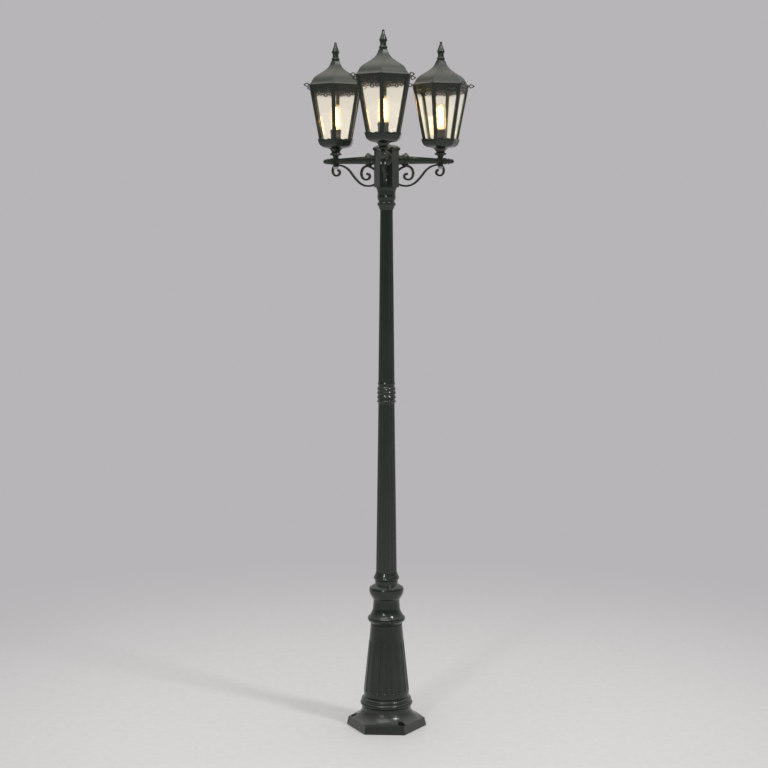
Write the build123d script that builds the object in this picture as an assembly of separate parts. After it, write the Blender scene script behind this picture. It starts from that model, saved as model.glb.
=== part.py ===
from build123d import *
from math import atan2, cos, radians, sin
import os

# Triple head lamp post: cast base, fluted two-piece shaft, six-sided hub, three scrolled arms
# and three six-sided lanterns whose roofs lift off. Millimetres, +Z up, origin at the centre
# of the foot's underside, front arm towards -Y.

# ---------------------------------------------------------------- driving dimensions
TOTAL_HEIGHT = 2400.0
FOOT_CORNER = 135.0          # centre to corner of the six-sided foot, at its top edge
FOOT_THICKNESS = 28.0
FOOT_DRAFT = 5.0             # extra distance to the flats where the foot meets the ground
BOLT_CIRCLE = 228.0
BOLT_HOLE = 5.5              # radius, for M10 anchors
BOLT_SEAT = 12.0             # radius of the flat pocket round each hole

BASE_TOP = 366.0             # level where the base casting ends and the vase collar starts
VASE_TOP = 549.0
MIDDLE_LOW = 1142.0
MIDDLE_TOP = 1220.0
CAPITAL_LOW = 1814.0
HUB_LOW = 1893.0
HUB_TOP = 2022.0
ARM_LEVEL = 1988.0
SEAT_LEVEL = 1998.0          # top of the arm, where the lantern's pillar stands

COLUMN_LOW = (125.0, 80.3)    # level and radius where the base's fluted column starts
COLUMN_HIGH = (314.0, 60.4)
COLUMN_FLUTES = 18
FLUTE_RADIUS = 8.0
FLUTE_DEPTH = 3.2
SHAFT_FLUTES = 16
SHAFT_LOW_RADIUS = 36.2      # ridge radius at the foot of the lower shaft
SHAFT_MIDDLE_RADIUS = 28.2
SHAFT_TOP_RADIUS = 21.6
SHAFT_WALL = 3.0
SHAFT_GROOVE = 0.055          # groove depth as a share of the radius
BASE_SPIGOT = 26.1           # outer radius of the tube inside each joint
MIDDLE_SPIGOT = 20.6
TOP_SPIGOT = 13.6
GRUB_CLEARANCE = 0.1
VASE_SCREWS = (VASE_TOP - 18, 43, BASE_SPIGOT)   # level, outer and inner end of the set screws
MIDDLE_SCREWS = (MIDDLE_TOP - 23, 31, MIDDLE_SPIGOT)
CAPITAL_SCREWS = (CAPITAL_LOW + 47, 31.5, TOP_SPIGOT)

HUB_FLAT = 37.2              # centre to flat of the six-sided hub
HUB_WALL = 5.0
HUB_FLOOR = 8.0
WIRE_BORE = 5.5
TAIL_RADIUS = 7.0            # threaded tail of an arm, through the hub's wall
TAIL_LENGTH = 14.0
STEM_RADIUS = 5.0
SCREW_RADIUS = 2.0

ARM_REACH = 212.0            # post axis to lantern axis
ARM_TIP = HUB_FLAT + 210.5
COLLAR_RIM = HUB_FLAT + 36.5     # the pointed rim of the arm's collar
KNOB_PIN = 2.95
SCROLL_DEPTH = 8.0
SCROLL_PAD = 2 * ARM_LEVEL - SEAT_LEVEL - 3.2    # centre line of the scroll where it passes the stem
PAD_TOP = SCROLL_PAD + 3.1
PAD_LOW = SCROLL_PAD - 6.2
STRAP = 3.0                  # thickness of the bracket's back strap
ARM_NAMES = ("front", "right", "left")
ARM_AZIMUTH = {"front": -90.0, "right": 30.0, "left": 150.0}
LANTERN_TURN = {"front": 0.0, "right": -15.0, "left": 0.0}

CUP_FLOOR = 2021.0           # underside of the lantern's cup
CUP_FLOOR_THICKNESS = 4.0
UNDER_NUT = 7.0              # height of the nut under the bracket
NUT_CORNER = 9.24            # centre to corner of that nut
SILL_LEVEL = 2052.0          # ledge in the cup that carries the cage
EAVES_LEVEL = 2247.0         # top of the cage, where the roof rests
ROOF_TOP = 2333.0
BAR_FOOT_CORNER = 62.4       # centre to outer corner of the cage at SILL_LEVEL
BAR_LEAN = 0.2               # outward lean of the cage corners, mm per mm of height
SIDE_LEAN = atan2(BAR_LEAN * cos(radians(30)), 1.0)
SILL_HEIGHT = 5.0
RING_HEIGHT = 8.0            # top ring of the cage
RING_WIDTH = 9.0
BAR_HALF_WIDTH = 7.0
BAR_DEPTH = 11.0
PANE_THICKNESS = 2.0
PANE_INSET = 3.6             # from the cage's outer plane to the glass
PANE_GROOVE = 0.2
ROOF_GAP = 0.2               # between the resting roof and the cage
BRIDGE_REACH = (BAR_FOOT_CORNER + BAR_LEAN * (EAVES_LEVEL - SILL_LEVEL)) * cos(radians(30)) - 4.2
BRIDGE_WIDTH = 14.0
BRIDGE_THICKNESS = 4.0
EAR_ROOT = 99.5              # the eave's ears: inner end, length, height and thickness
EAR_LENGTH = 24.0
EAR_HEIGHT = 14.0
EAR_THICKNESS = 5.0
STUD_RADIUS = 3.0
STUD_TOP = 2352.0
HOLDER_LOW = 2035.0
HOLDER_ENTRY = 8.0           # depth of the hole in the lampholder that the stem enters
HOLDER_TOP = 2097.0
HOLDER_RADIUS = 18.5
BULB_TOP = 2187.0
BULB_RADIUS = 17.5

BEYOND = 400.0               # cutters reach past everything that they cut


# ---------------------------------------------------------------- shape helpers
def outline(steps, base=0.0, side=1):
    """Edges in the XZ plane through (height, radius[, bulge]) steps, rising from the first.

    The bulge is how far the edge that ends at a step bows outwards (or inwards, when negative).
    A side of -1 draws the outline's mirror image.
    """
    edges = []
    for before, after in zip(steps, steps[1:]):
        start = Vector(side * before[1], 0, base + before[0])
        end = Vector(side * after[1], 0, base + after[0])
        bulge = after[2] if len(after) > 2 else 0
        if bulge:
            run = end - start
            out = Vector(run.Z, 0, -run.X).normalized() * side
            edges.append(ThreePointArc(start, (start + end) * 0.5 + out * bulge, end))
        else:
            edges.append(Line(start, end))
    return edges


def turned(steps, bore=0.0, base=0.0):
    """A piece turned about Z with the given outline and one straight bore."""
    skin = outline(steps, base)
    low = skin[0] @ 0
    high = skin[-1] @ 1
    back = Polyline(high, (bore, 0, high.Z), (bore, 0, low.Z), low)
    return revolve(make_face(Wire(skin + list(back.edges()))), Axis.Z)


def six_sided(steps, base=0.0):
    """A six-sided piece: the outline, held as distances to the flats, crossed at 0, 60, 120."""
    right = outline(steps, base)
    left = outline(steps, base, side=-1)
    low = right[0] @ 0
    high = right[-1] @ 1
    closing = [Line(low, (-low.X, 0, low.Z)), Line(high, (-high.X, 0, high.Z))]
    face = make_face(Wire(right + left + closing))
    slab = extrude(face, BEYOND / 2, both=True)
    return slab & (Rot(0, 0, 60) * slab) & (Rot(0, 0, 120) * slab)


def corner_up(shape):
    """Turns a six_sided piece so that a corner, not a flat, lies on +X."""
    return Rot(0, 0, 30) * shape


def around(shape, count, start=0.0):
    """Copies of a shape evenly spaced about Z."""
    return [Rot(0, 0, start + 360.0 / count * i) * shape for i in range(count)]


def ribbon(start, heading, arcs, widths, depth):
    """A flat bar of changing width that follows tangent arcs (radius, turn) in the XZ plane.

    It ends in a round eye, and it is centred on the XZ plane.
    """
    x, z = start
    angle = radians(heading)
    total = sum(abs(radius * radians(turn)) for radius, turn in arcs)
    done = 0.0
    upper, lower = [], []

    def sides(px, pz, direction, share):
        half = (widths[0] + (widths[1] - widths[0]) * share) / 2
        nx, nz = -sin(direction) * half, cos(direction) * half
        return Vector(px + nx, 0, pz + nz), Vector(px - nx, 0, pz - nz)

    for radius, turn in arcs:
        side = 1 if turn > 0 else -1
        centre_x = x - side * radius * sin(angle)
        centre_z = z + side * radius * cos(angle)
        stations = []
        for part in (0.0, 0.5, 1.0):
            direction = angle + radians(turn) * part
            px = centre_x + side * radius * sin(direction)
            pz = centre_z - side * radius * cos(direction)
            share = (done + abs(radius * radians(turn)) * part) / total
            stations.append(sides(px, pz, direction, share))
        upper.append(ThreePointArc(*[station[0] for station in stations]))
        lower.append(ThreePointArc(*[station[1] for station in stations]))
        done += abs(radius * radians(turn))
        angle += radians(turn)
        x, z = px, pz
    ends = [Line(upper[0] @ 0, lower[0] @ 0), Line(upper[-1] @ 1, lower[-1] @ 1)]
    bar = extrude(make_face(Wire(upper + lower + ends)), depth / 2, both=True)
    eye = extrude(Plane.XZ * Pos(x, z) * Circle(widths[1] * 0.75), depth / 2, both=True)
    return bar + eye


def cage_corner(level):
    """Distance from the lantern's axis to the cage's outer corner at a level."""
    return BAR_FOOT_CORNER + BAR_LEAN * (level - SILL_LEVEL)


def side_plane():
    """Plane of one cage side: X along the side, Y up the lean, Z outwards, origin at the eaves."""
    apothem = cage_corner(EAVES_LEVEL) * cos(radians(30))
    outward = Vector(cos(SIDE_LEAN), 0, -sin(SIDE_LEAN))
    return Plane(origin=(apothem, 0, EAVES_LEVEL), x_dir=(0, 1, 0), z_dir=outward)


def side_half(level):
    """Half the length of a cage side at a level."""
    return cage_corner(level) / 2


# ---------------------------------------------------------------- the post
def base_casting():
    column = turned(
        [
            (0, 170), (FOOT_THICKNESS, 170), (FOOT_THICKNESS, FOOT_CORNER), (56, 89, -7.5),
            (60, 86.5), (74, 86.5), (76, 88.8), (91, 88.8, 3.6), (93, 86.2), (103, 85.4, 2.0),
            (105, 82), (112, 79.5), COLUMN_LOW, COLUMN_HIGH, (341, 57.7), (BASE_TOP, 55.5),
        ]
    )
    foot_flat = FOOT_CORNER * cos(radians(30))
    sides = [(0, foot_flat + FOOT_DRAFT), (FOOT_THICKNESS, foot_flat), (BASE_TOP, foot_flat)]
    body = column & corner_up(six_sided(sides))
    hollow = turned(
        [
            (0, FOOT_CORNER - 32), (12, FOOT_CORNER - 34), (48, 83, -6), (60, 80), (112, 74),
            (300, 55), (352, 50),
        ]
    )
    top_bore = Pos(0, 0, BASE_TOP) * Cylinder(30, 60)
    flute_line = Line(flute_point(COLUMN_LOW[0] + 11), flute_point(COLUMN_HIGH[0] - 11))
    round_tool = Plane(origin=flute_line @ 0, z_dir=flute_line % 0) * Circle(FLUTE_RADIUS)
    flute = sweep(round_tool, flute_line)
    flute += Pos(flute_line @ 0) * Sphere(FLUTE_RADIUS)
    flute += Pos(flute_line @ 1) * Sphere(FLUTE_RADIUS)
    body = body - hollow - top_bore - around(flute, COLUMN_FLUTES, -90)
    for azimuth in (60, 180, 300):
        place = Rot(0, 0, azimuth) * Pos(BOLT_CIRCLE / 2, 0, 0)
        body = body - place * Cylinder(BOLT_HOLE, BEYOND)
        pocket = Cylinder(BOLT_SEAT, BEYOND, align=(Align.CENTER, Align.CENTER, Align.MIN))
        body = body - place * Pos(0, 0, FOOT_THICKNESS - 6) * pocket
    return body


def flute_point(level):
    """A point on the centre line of the tool that cuts a column flute."""
    share = (level - COLUMN_LOW[0]) / (COLUMN_HIGH[0] - COLUMN_LOW[0])
    surface = COLUMN_LOW[1] + (COLUMN_HIGH[1] - COLUMN_LOW[1]) * share
    return Vector(surface + FLUTE_RADIUS - FLUTE_DEPTH, 0, level)


def vase_collar():
    body = turned(
        [
            (0, 54), (3, 55.5), (7, 59.3), (11, 62.8), (14, 65.4), (20, 66.4), (24, 65.2), (27, 62.4),
            (60, 47.6, -3.4), (80, 46), (89, 47.4), (110, 59.2, 0.9), (117, 60.8), (124, 60.8),
            (131, 58.2), (138, 47), (142, 39.6), (156, 41.2), (160, 43.6), (164.5, 45.2), (169, 43.6),
            (174, 41), (183, 37.4),
        ],
        bore=26.5,
        base=BASE_TOP,
    )
    return body - grub_screws(VASE_SCREWS, GRUB_CLEARANCE)


def fluted_section(radius):
    """Cross-section of a shaft: hollow grooves round a circle, with narrow ridges between."""
    pitch = 360.0 / SHAFT_FLUTES
    ridge = pitch * 0.22
    depth = radius * SHAFT_GROOVE
    edges = []
    for i in range(SHAFT_FLUTES):
        offsets = (-ridge / 2, 0, ridge / 2, pitch / 2, pitch - ridge / 2)
        angles = [i * pitch + offset for offset in offsets]
        radii = [radius, radius, radius, radius - depth, radius]
        points = [
            (r * cos(radians(angle)), r * sin(radians(angle))) for r, angle in zip(radii, angles)
        ]
        edges.append(ThreePointArc(*points[0:3]))
        edges.append(ThreePointArc(*points[2:5]))
    return make_face(Wire(edges))


def shaft(low, high, low_radius, high_radius):
    """A tapered fluted tube between two levels."""
    foot = Pos(0, 0, low) * fluted_section(low_radius)
    head = Pos(0, 0, high) * fluted_section(high_radius)
    low_bore, high_bore = [r * (1 - SHAFT_GROOVE) - SHAFT_WALL for r in (low_radius, high_radius)]
    bore = Cone(low_bore, high_bore, high - low, align=(Align.CENTER, Align.CENTER, Align.MIN))
    return loft([foot, head], ruled=True) - Pos(0, 0, low) * bore


def spigot(low, high, radius):
    """A plain tube inside a joint of the post."""
    return turned([(0, radius), (high - low, radius)], bore=radius - 3, base=low)


def middle_joint():
    body = turned(
        [
            (0, 28.8), (6, 29.4), (8, 31.4), (10.5, 33), (13, 33), (15.5, 31), (17.5, 28.8),
            (20, 30.6), (23.5, 32.4), (28, 32.4), (31.5, 30.4), (34, 29.6), (37, 31.4), (40, 32.7),
            (43, 32.7), (46, 31.2), (48, 29.4), (51, 31.2), (57, 32), (60, 30.6), (63, 28.4),
            (68, 28.4), (70, 29.8), (74, 30.4), (78, 29.2),
        ],
        bore=21.0,
        base=MIDDLE_LOW,
    )
    return body - grub_screws(MIDDLE_SCREWS, GRUB_CLEARANCE)


def capital():
    body = turned(
        [
            (0, 22.4), (3, 23.6), (14, 28), (17, 30.4), (20.4, 32), (23.6, 32), (27, 30.2), (29.5, 27.2),
            (34, 28), (36, 29.6), (44, 32), (52, 31.6), (56, 30.6), (68, 32), (72, 34.2), (79, 36.4),
        ],
        bore=14.0,
        base=CAPITAL_LOW,
    )
    return body - grub_screws(CAPITAL_SCREWS, GRUB_CLEARANCE)


def hub():
    """Hollow six-sided head; a flat faces each arm."""
    height = HUB_TOP - HUB_LOW
    inner = HUB_FLAT - HUB_WALL
    body = six_sided([(0, HUB_FLAT), (height, HUB_FLAT)], HUB_LOW)
    chamber = six_sided([(0, inner), (height, inner)], HUB_LOW + HUB_FLOOR)
    body = corner_up(body - chamber) - Pos(0, 0, HUB_LOW) * Cylinder(TOP_SPIGOT + 0.4, 4 * HUB_FLOOR)
    holes = [(ARM_LEVEL, TAIL_RADIUS + 0.2)]
    holes += [(level, SCREW_RADIUS + 0.1) for level in bracket_screw_levels()]
    for level, radius in holes:
        hole = Pos(HUB_FLAT, 0, level) * Rot(0, 90, 0) * Cylinder(radius, 4 * HUB_WALL)
        body = body - around(hole, 3, -90)
    return body


def hub_cap():
    rim = HUB_FLAT + 4
    body = six_sided(
        [(-6, rim - 2), (-3, rim), (3, rim), (6, rim - 3.5, -0.5), (14, 16, 1.6), (16, 8)], HUB_TOP + 3
    )
    socket = six_sided([(0, HUB_FLAT + 0.3), (5, HUB_FLAT + 0.3)], HUB_TOP - 5)
    return corner_up(body - socket) - Cylinder(SCREW_RADIUS + 0.2, TOTAL_HEIGHT * 2)


def hub_cap_screw():
    top = HUB_TOP + 19
    head = turned([(0, 5), (1, 5), (3, 2.5)], base=top)
    shank = turned([(0, SCREW_RADIUS), (24, SCREW_RADIUS)], base=top - 24)
    slot = Pos(0, 0, top + 3) * Box(1.2, 12, 2)
    return head + shank - slot


def terminal_block():
    """Three-way connector block that stands on the hub's floor, beside the wire way."""
    length, width, height, pole_pitch = 34.0, 16.0, 17.0, 10.0
    place = Pos(0, TOP_SPIGOT + width / 2, HUB_LOW + HUB_FLOOR)
    body = Pos(0, 0, height / 2) * Box(length, width, height)
    for x in (-pole_pitch, 0, pole_pitch):
        well = Pos(x, 0, height) * Cylinder(2.4, 8)
        throat = Pos(x, 0, height / 3) * Rot(90, 0, 0) * Cylinder(2.0, width)
        body = body - well - throat
    return place * body


# ---------------------------------------------------------------- the arms, drawn along +X
def arm():
    """Tapered hollow arm that screws to the hub's flat, with the vertical hole for the lantern."""
    reach = turned(
        [
            (0, 19), (4, 19), (6, 16.6), (22, 16.4), (24, 18.6), (29, 19.8), (32, 22),
            (COLLAR_RIM - HUB_FLAT, 25),
            (42, 21), (44.5, 15), (47, 14), (161, 9.4), (189, 9), (191, 11.6), (195, 11.6), (197.5, 8.6),
            (203, 8.4), (205, 10.2), (209, 10.2), (210.5, 7.6),
        ],
        base=HUB_FLAT,
    )
    tail = turned([(0, TAIL_RADIUS), (TAIL_LENGTH, TAIL_RADIUS)], base=HUB_FLAT - TAIL_LENGTH)
    bore = turned([(0, WIRE_BORE), (ARM_REACH, WIRE_BORE)])
    knob_hole = turned([(0, KNOB_PIN + 0.05), (20, KNOB_PIN + 0.05)], base=ARM_TIP - 10)
    lying = Pos(0, 0, ARM_LEVEL) * Rot(0, 90, 0)
    body = lying * (reach + tail)
    boss = Pos(ARM_REACH, 0, ARM_LEVEL) * Cylinder(12.5, 2 * (SEAT_LEVEL - ARM_LEVEL))
    stem_hole = Pos(ARM_REACH, 0, ARM_LEVEL) * Cylinder(STEM_RADIUS + 0.1, 60)
    scroll_notch = Pos(COLLAR_RIM - 2, 0, SCROLL_PAD - 3.3 - 15) * Box(24, SCROLL_DEPTH + 0.5, 30)
    return body + boss - lying * (bore + knob_hole) - stem_hole - scroll_notch


def arm_knob():
    ball = turned([(0, 5.2), (2, 5), (4, 7), (8, 8.4), (12, 7.4), (17, 3.4), (19.5, 1)], base=ARM_TIP)
    pin = turned([(0, KNOB_PIN), (8, KNOB_PIN)], base=ARM_TIP - 8)
    return Pos(0, 0, ARM_LEVEL) * Rot(0, 90, 0) * (ball + pin)


def bracket_screw_levels():
    return (HUB_LOW + 23, HUB_LOW + 44)


def scroll_bracket():
    """Wrought bracket under the arm: back strap, S scroll up to the arm and C scroll inside it."""
    strap = Pos(HUB_FLAT + STRAP / 2, 0, HUB_LOW + 39) * Box(STRAP, 12, 72)
    s_scroll = ribbon(
        (HUB_FLAT + STRAP, SCROLL_PAD - 67.8),
        -28,
        [(68.3, 68), (200, 12), (77.4, -52), (19, -150), (14.5, -90), (8, -95)],
        (6.4, 6.0),
        SCROLL_DEPTH,
    )
    c_scroll = ribbon(
        (HUB_FLAT + STRAP, SCROLL_PAD - 25.8),
        42,
        [(80, -27), (24.5, -133), (20, -90), (10, -100), (6, -70)],
        (7.4, 6.0),
        SCROLL_DEPTH,
    )
    boss = Pos(ARM_REACH, 0, 0) * turned([(0, 10), (PAD_TOP - PAD_LOW, 10)], base=PAD_LOW)
    body = strap + s_scroll + c_scroll + boss
    body = body - Pos(ARM_REACH, 0, SCROLL_PAD) * Cylinder(STEM_RADIUS + 0.1, 40)
    nut_space = turned([(0, NUT_CORNER + 0.5), (UNDER_NUT + 0.5, NUT_CORNER + 0.5)])
    body = body - Pos(ARM_REACH, 0, PAD_LOW - UNDER_NUT - 0.5) * nut_space
    for level in bracket_screw_levels():
        body = body - Pos(HUB_FLAT, 0, level) * Rot(0, 90, 0) * Cylinder(SCREW_RADIUS + 0.2, 4 * STRAP)
    return body


def bracket_screw(level):
    start = HUB_FLAT - 9
    seat = HUB_FLAT + STRAP - start
    screw = turned([(0, SCREW_RADIUS), (seat, SCREW_RADIUS), (seat, 3.8), (seat + 2.2, 2)], base=start)
    return Pos(0, 0, level) * Rot(0, 90, 0) * screw


def lantern_pillar():
    """Turned casting between the arm and the lantern's cup."""
    return Pos(ARM_REACH, 0, 0) * turned(
        [
            (0, 11.5), (2, 10), (6, 9.8), (9, 12.4), (11.5, 19.8), (14.5, 21), (17.5, 20), (19.5, 15.6),
            (23, 14.4),
        ],
        bore=STEM_RADIUS + 0.2,
        base=SEAT_LEVEL,
    )


def stem_tube():
    """Threaded hollow stem that clamps lantern, pillar and arm, and carries the wires."""
    low, high = PAD_LOW - UNDER_NUT - 0.8, HOLDER_LOW + HOLDER_ENTRY - 1
    return Pos(ARM_REACH, 0, 0) * turned([(0, STEM_RADIUS), (high - low, STEM_RADIUS)], bore=3.4, base=low)


def arm_nuts():
    """Lock nut on the arm's tail in the hub, and the stem's nuts under the bracket and in the cup."""
    stem_hole = Pos(0, 0, SEAT_LEVEL) * Cylinder(STEM_RADIUS + 0.05, 200)
    tail_hole = Cylinder(TAIL_RADIUS + 0.05, 40)
    under_flat = NUT_CORNER * cos(radians(30))
    under = six_sided([(0, 6.8), (1.4, under_flat), (UNDER_NUT, under_flat)], PAD_LOW - UNDER_NUT)
    inside = six_sided([(0, 8.5), (6, 8.5)], CUP_FLOOR + CUP_FLOOR_THICKNESS)
    lock = six_sided([(0, 10), (6, 10)])
    stem_nuts = [Pos(ARM_REACH, 0, 0) * (nut - stem_hole) for nut in (under, inside)]
    place = Pos(HUB_FLAT - HUB_WALL - 6, 0, ARM_LEVEL) * Rot(0, 90, 0)
    return stem_nuts + [place * (lock - tail_hole)]


# ---------------------------------------------------------------- a lantern, drawn about Z
def lantern_cup():
    """Six-sided cast bowl with a waved crown; the cage stands on the ledge inside."""
    outside = six_sided(
        [(0, 15), (4, 21), (11, 30), (14, 33), (24, 45, 2.2), (29.5, 55.8), (31, 57.1), (43, 59.5)],
        CUP_FLOOR,
    )
    bowl = six_sided([(CUP_FLOOR_THICKNESS, 16), (14, 26), (24, 38, 1.8), (40, 43)], CUP_FLOOR)
    crown = six_sided([(0, 54.3), (20, 58.3)], SILL_LEVEL)
    body = outside - bowl - crown - Pos(0, 0, CUP_FLOOR) * Cylinder(STEM_RADIUS + 0.2, 20)
    wave = Pos(60, 0, CUP_FLOOR + 47.4) * Rot(0, 90, 0) * Cylinder(7.5, 20)
    waves = []
    for offset in (-17, 0, 17):
        waves += around(Pos(0, offset, 0) * wave, 6)
    return corner_up(body - waves)


def pane(half_gap, thickness, inset):
    """One glass pane in the plane of a cage side, its edges half_gap short of the corners."""
    foot = -(EAVES_LEVEL - SILL_LEVEL - SILL_HEIGHT) / cos(SIDE_LEAN)
    head = -RING_HEIGHT - 0.6
    low_half = side_half(SILL_LEVEL + SILL_HEIGHT) - half_gap
    high_half = side_half(EAVES_LEVEL + head) - half_gap
    corners = [(-low_half, foot), (low_half, foot), (high_half, head), (-high_half, head)]
    sketch = make_face(Polyline(*corners, close=True))
    return extrude(side_plane() * Pos(0, 0, -inset) * sketch, -thickness)


def lantern_cage():
    """Sill, six grooved corner bars and top ring in one casting."""
    def bar_section(level):
        corner = cage_corner(level)
        points = [
            (corner, 0), (corner - 4, BAR_HALF_WIDTH), (corner - BAR_DEPTH, BAR_HALF_WIDTH - 1.2),
            (corner - BAR_DEPTH, 1.2 - BAR_HALF_WIDTH), (corner - 4, -BAR_HALF_WIDTH),
        ]
        return Pos(0, 0, level) * make_face(Polyline(*points, close=True))

    bar = loft([bar_section(SILL_LEVEL), bar_section(EAVES_LEVEL)], ruled=True)
    rings = []
    for low, high in ((SILL_LEVEL, SILL_LEVEL + SILL_HEIGHT), (EAVES_LEVEL - RING_HEIGHT, EAVES_LEVEL)):
        flats = [cage_corner(level) * cos(radians(30)) for level in (low, high)]
        hole = flats[1] - RING_WIDTH
        rim = six_sided([(low, flats[0]), (high, flats[1])])
        rings.append(corner_up(rim - six_sided([(low, hole), (high, hole)])))
    slots = around(pane(6.0, PANE_THICKNESS + 2 * PANE_GROOVE, PANE_INSET - PANE_GROOVE), 6, 30)
    notch = Pos(0, 0, EAVES_LEVEL - BRIDGE_THICKNESS / 2) * Box(
        2 * BRIDGE_REACH + 0.4, BRIDGE_WIDTH + 0.2, BRIDGE_THICKNESS
    )
    return rings[0] + rings[1] + around(bar, 6) - slots - Rot(0, 0, 30) * notch


def lantern_panes():
    return around(pane(6.4, PANE_THICKNESS, PANE_INSET), 6, 30)


def frieze_panel():
    """One side of the gallery under the eaves, with five lobes along its lower edge."""
    half = side_half(EAVES_LEVEL - RING_HEIGHT) - 9.3
    top = -RING_HEIGHT - 0.7
    low_half = side_half(EAVES_LEVEL - 20) - 9.3
    cusps = [(-low_half, -17), (-27, -14), (-9.5, -15), (9.5, -15), (27, -14), (low_half, -17)]
    drops = [4.0, 3.4, 8.0, 3.4, 4.0]
    lower = []
    for left, right, drop in zip(cusps, cusps[1:], drops):
        middle = ((left[0] + right[0]) / 2, (left[1] + right[1]) / 2 - drop)
        lower.append(ThreePointArc(left, middle, right))
    sides = Polyline(cusps[-1], (half, top), (-half, top), cusps[0])
    face = make_face(Wire(lower + list(sides.edges())))
    return extrude(side_plane() * Pos(0, 0, -0.4) * face, -2.4)


def lantern_frieze():
    return around(frieze_panel(), 6, 30)


def roof_bridge():
    """Strap across the cage's top ring with the stud that the finial nut screws on to."""
    strap = Pos(0, 0, EAVES_LEVEL - BRIDGE_THICKNESS / 2) * Box(
        2 * BRIDGE_REACH, BRIDGE_WIDTH, BRIDGE_THICKNESS
    )
    stud_length = STUD_TOP - EAVES_LEVEL
    stud = turned([(-2, 8), (4, 6.5), (4, STUD_RADIUS), (stud_length, STUD_RADIUS)], base=EAVES_LEVEL)
    return Rot(0, 0, 30) * (strap + stud)


def lantern_roof():
    """Six-sided ogee roof shell with a flared eave and a looped ear on each corner."""
    skin = [
        (0, 90), (3, 90.4, 0.4), (6, 86.5), (12, 82, -0.4), (30, 70, 1.4), (49, 50, 4.0),
        (67, 27, -3.4), (86, 14.5, -1.6),
    ]
    body = six_sided(skin, EAVES_LEVEL + ROOF_GAP)
    inside = six_sided(
        [(-1, 82), (3, 82), (9, 79), (28, 67, 1.4), (46, 48, 3.6), (64, 24, -3.2), (78, 11.5, -1.2)],
        EAVES_LEVEL + ROOF_GAP,
    )
    body = corner_up(body - inside) - Cylinder(STUD_RADIUS + 0.6, TOTAL_HEIGHT * 2)
    return body + around(roof_ear(), 6)


def leaf(root, length, height, level):
    """A pointed leaf in the XZ plane: blunt at its root, sharp at its tip."""
    half = height / 2
    edges = [Line((root, 0, level - half * 0.7), (root, 0, level + half * 0.7))]
    for side in (1, -1):
        shoulder = Vector(root + length * 0.45, 0, level + side * half)
        edges.append(ThreePointArc(edges[0] @ (0.5 + side / 2), shoulder, (root + length, 0, level)))
    return make_face(Wire(edges))


def roof_ear():
    """Pointed leaf loop that stands off a corner of the eave, in the plane of the corner."""
    level = EAVES_LEVEL + 0.6
    rim = 3.4
    loop = leaf(EAR_ROOT, EAR_LENGTH, EAR_HEIGHT, level)
    eye = leaf(EAR_ROOT + rim + 2, EAR_LENGTH - 2 * rim - 3, EAR_HEIGHT - 2 * rim, level)
    ear = extrude(loop - eye, EAR_THICKNESS / 2, both=True)
    under_roof = Box(2 * (cage_corner(EAVES_LEVEL) + 0.6), 2 * EAR_THICKNESS, 2 * EAR_HEIGHT)
    return ear - Pos(0, 0, EAVES_LEVEL + ROOF_GAP - EAR_HEIGHT) * under_roof


def finial_nut():
    """Turned spire that screws down on the roof; its blind hole runs on the bridge's stud."""
    base = ROOF_TOP + ROOF_GAP + 0.4
    body = turned(
        [
            (0, 14.2), (2.4, 14.6), (4, 12.4), (5.8, 13.8), (8.2, 14.6), (10.8, 13.6), (13, 11.2),
            (20.5, 10.2), (26, 11.2), (29, 13.2), (33, 13.4), (56.5, 4.6), (58.4, 4), (60.4, 5.2),
            (TOTAL_HEIGHT - base - 3, 4.6), (TOTAL_HEIGHT - base, 1),
        ],
        base=base,
    )
    hole = Pos(0, 0, base - 1) * Cylinder(
        STUD_RADIUS + 0.08, STUD_TOP - base + 3, align=(Align.CENTER, Align.CENTER, Align.MIN)
    )
    return body - hole


def lampholder():
    """Screw lampholder that stands on the stem in the cup."""
    low = HOLDER_LOW
    body = turned(
        [
            (0, 13), (4, 15), (12, 15.4), (14, HOLDER_RADIUS), (24, HOLDER_RADIUS), (26, 17.2),
            (HOLDER_TOP - low - 12, 17.2), (HOLDER_TOP - low - 10, HOLDER_RADIUS),
            (HOLDER_TOP - low, HOLDER_RADIUS),
        ],
        base=low,
    )
    socket = Pos(0, 0, HOLDER_TOP - 29) * Cylinder(
        13.5, 40, align=(Align.CENTER, Align.CENTER, Align.MIN)
    )
    entry = Pos(0, 0, low) * Cylinder(STEM_RADIUS + 0.05, 2 * HOLDER_ENTRY)
    return body - socket - entry


def bulb():
    """Tubular lamp: contact, screw cap and long domed envelope."""
    return turned(
        [
            (HOLDER_TOP - 28.6, 4), (HOLDER_TOP - 25.6, 9.6), (HOLDER_TOP - 23.6, 13.1),
            (HOLDER_TOP + 0.4, 13.1), (HOLDER_TOP + 0.6, 16), (HOLDER_TOP + 5.4, BULB_RADIUS),
            (BULB_TOP - 16, BULB_RADIUS), (BULB_TOP - 3, 9.4, 2.6), (BULB_TOP, 0.2, 0.8),
        ]
    )


# ---------------------------------------------------------------- assembly
def grub_screws(place, clearance=0.0):
    """Three set screws that lock a joint on its spigot; with a clearance, their holes instead."""
    level, outer, inner = place
    length = outer - inner
    screw = Cylinder(2.5 + clearance, length + (20 if clearance else 0))
    middle = (outer + inner) / 2 + (10 if clearance else 0)
    return around(Pos(middle, 0, level) * Rot(0, 90, 0) * screw, 3, 30)


def on_arm(name, shape):
    """Turns what is drawn along +X to the named arm's azimuth."""
    return Rot(0, 0, ARM_AZIMUTH[name]) * shape


def on_lantern_axis(name, shape):
    """Places what is drawn about Z on the named arm's lantern axis, turned as the lantern is."""
    place = Pos(ARM_REACH, 0, 0) * Rot(0, 0, LANTERN_TURN[name])
    if isinstance(shape, list):
        return [on_arm(name, place * piece) for piece in shape]
    return on_arm(name, place * shape)


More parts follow.
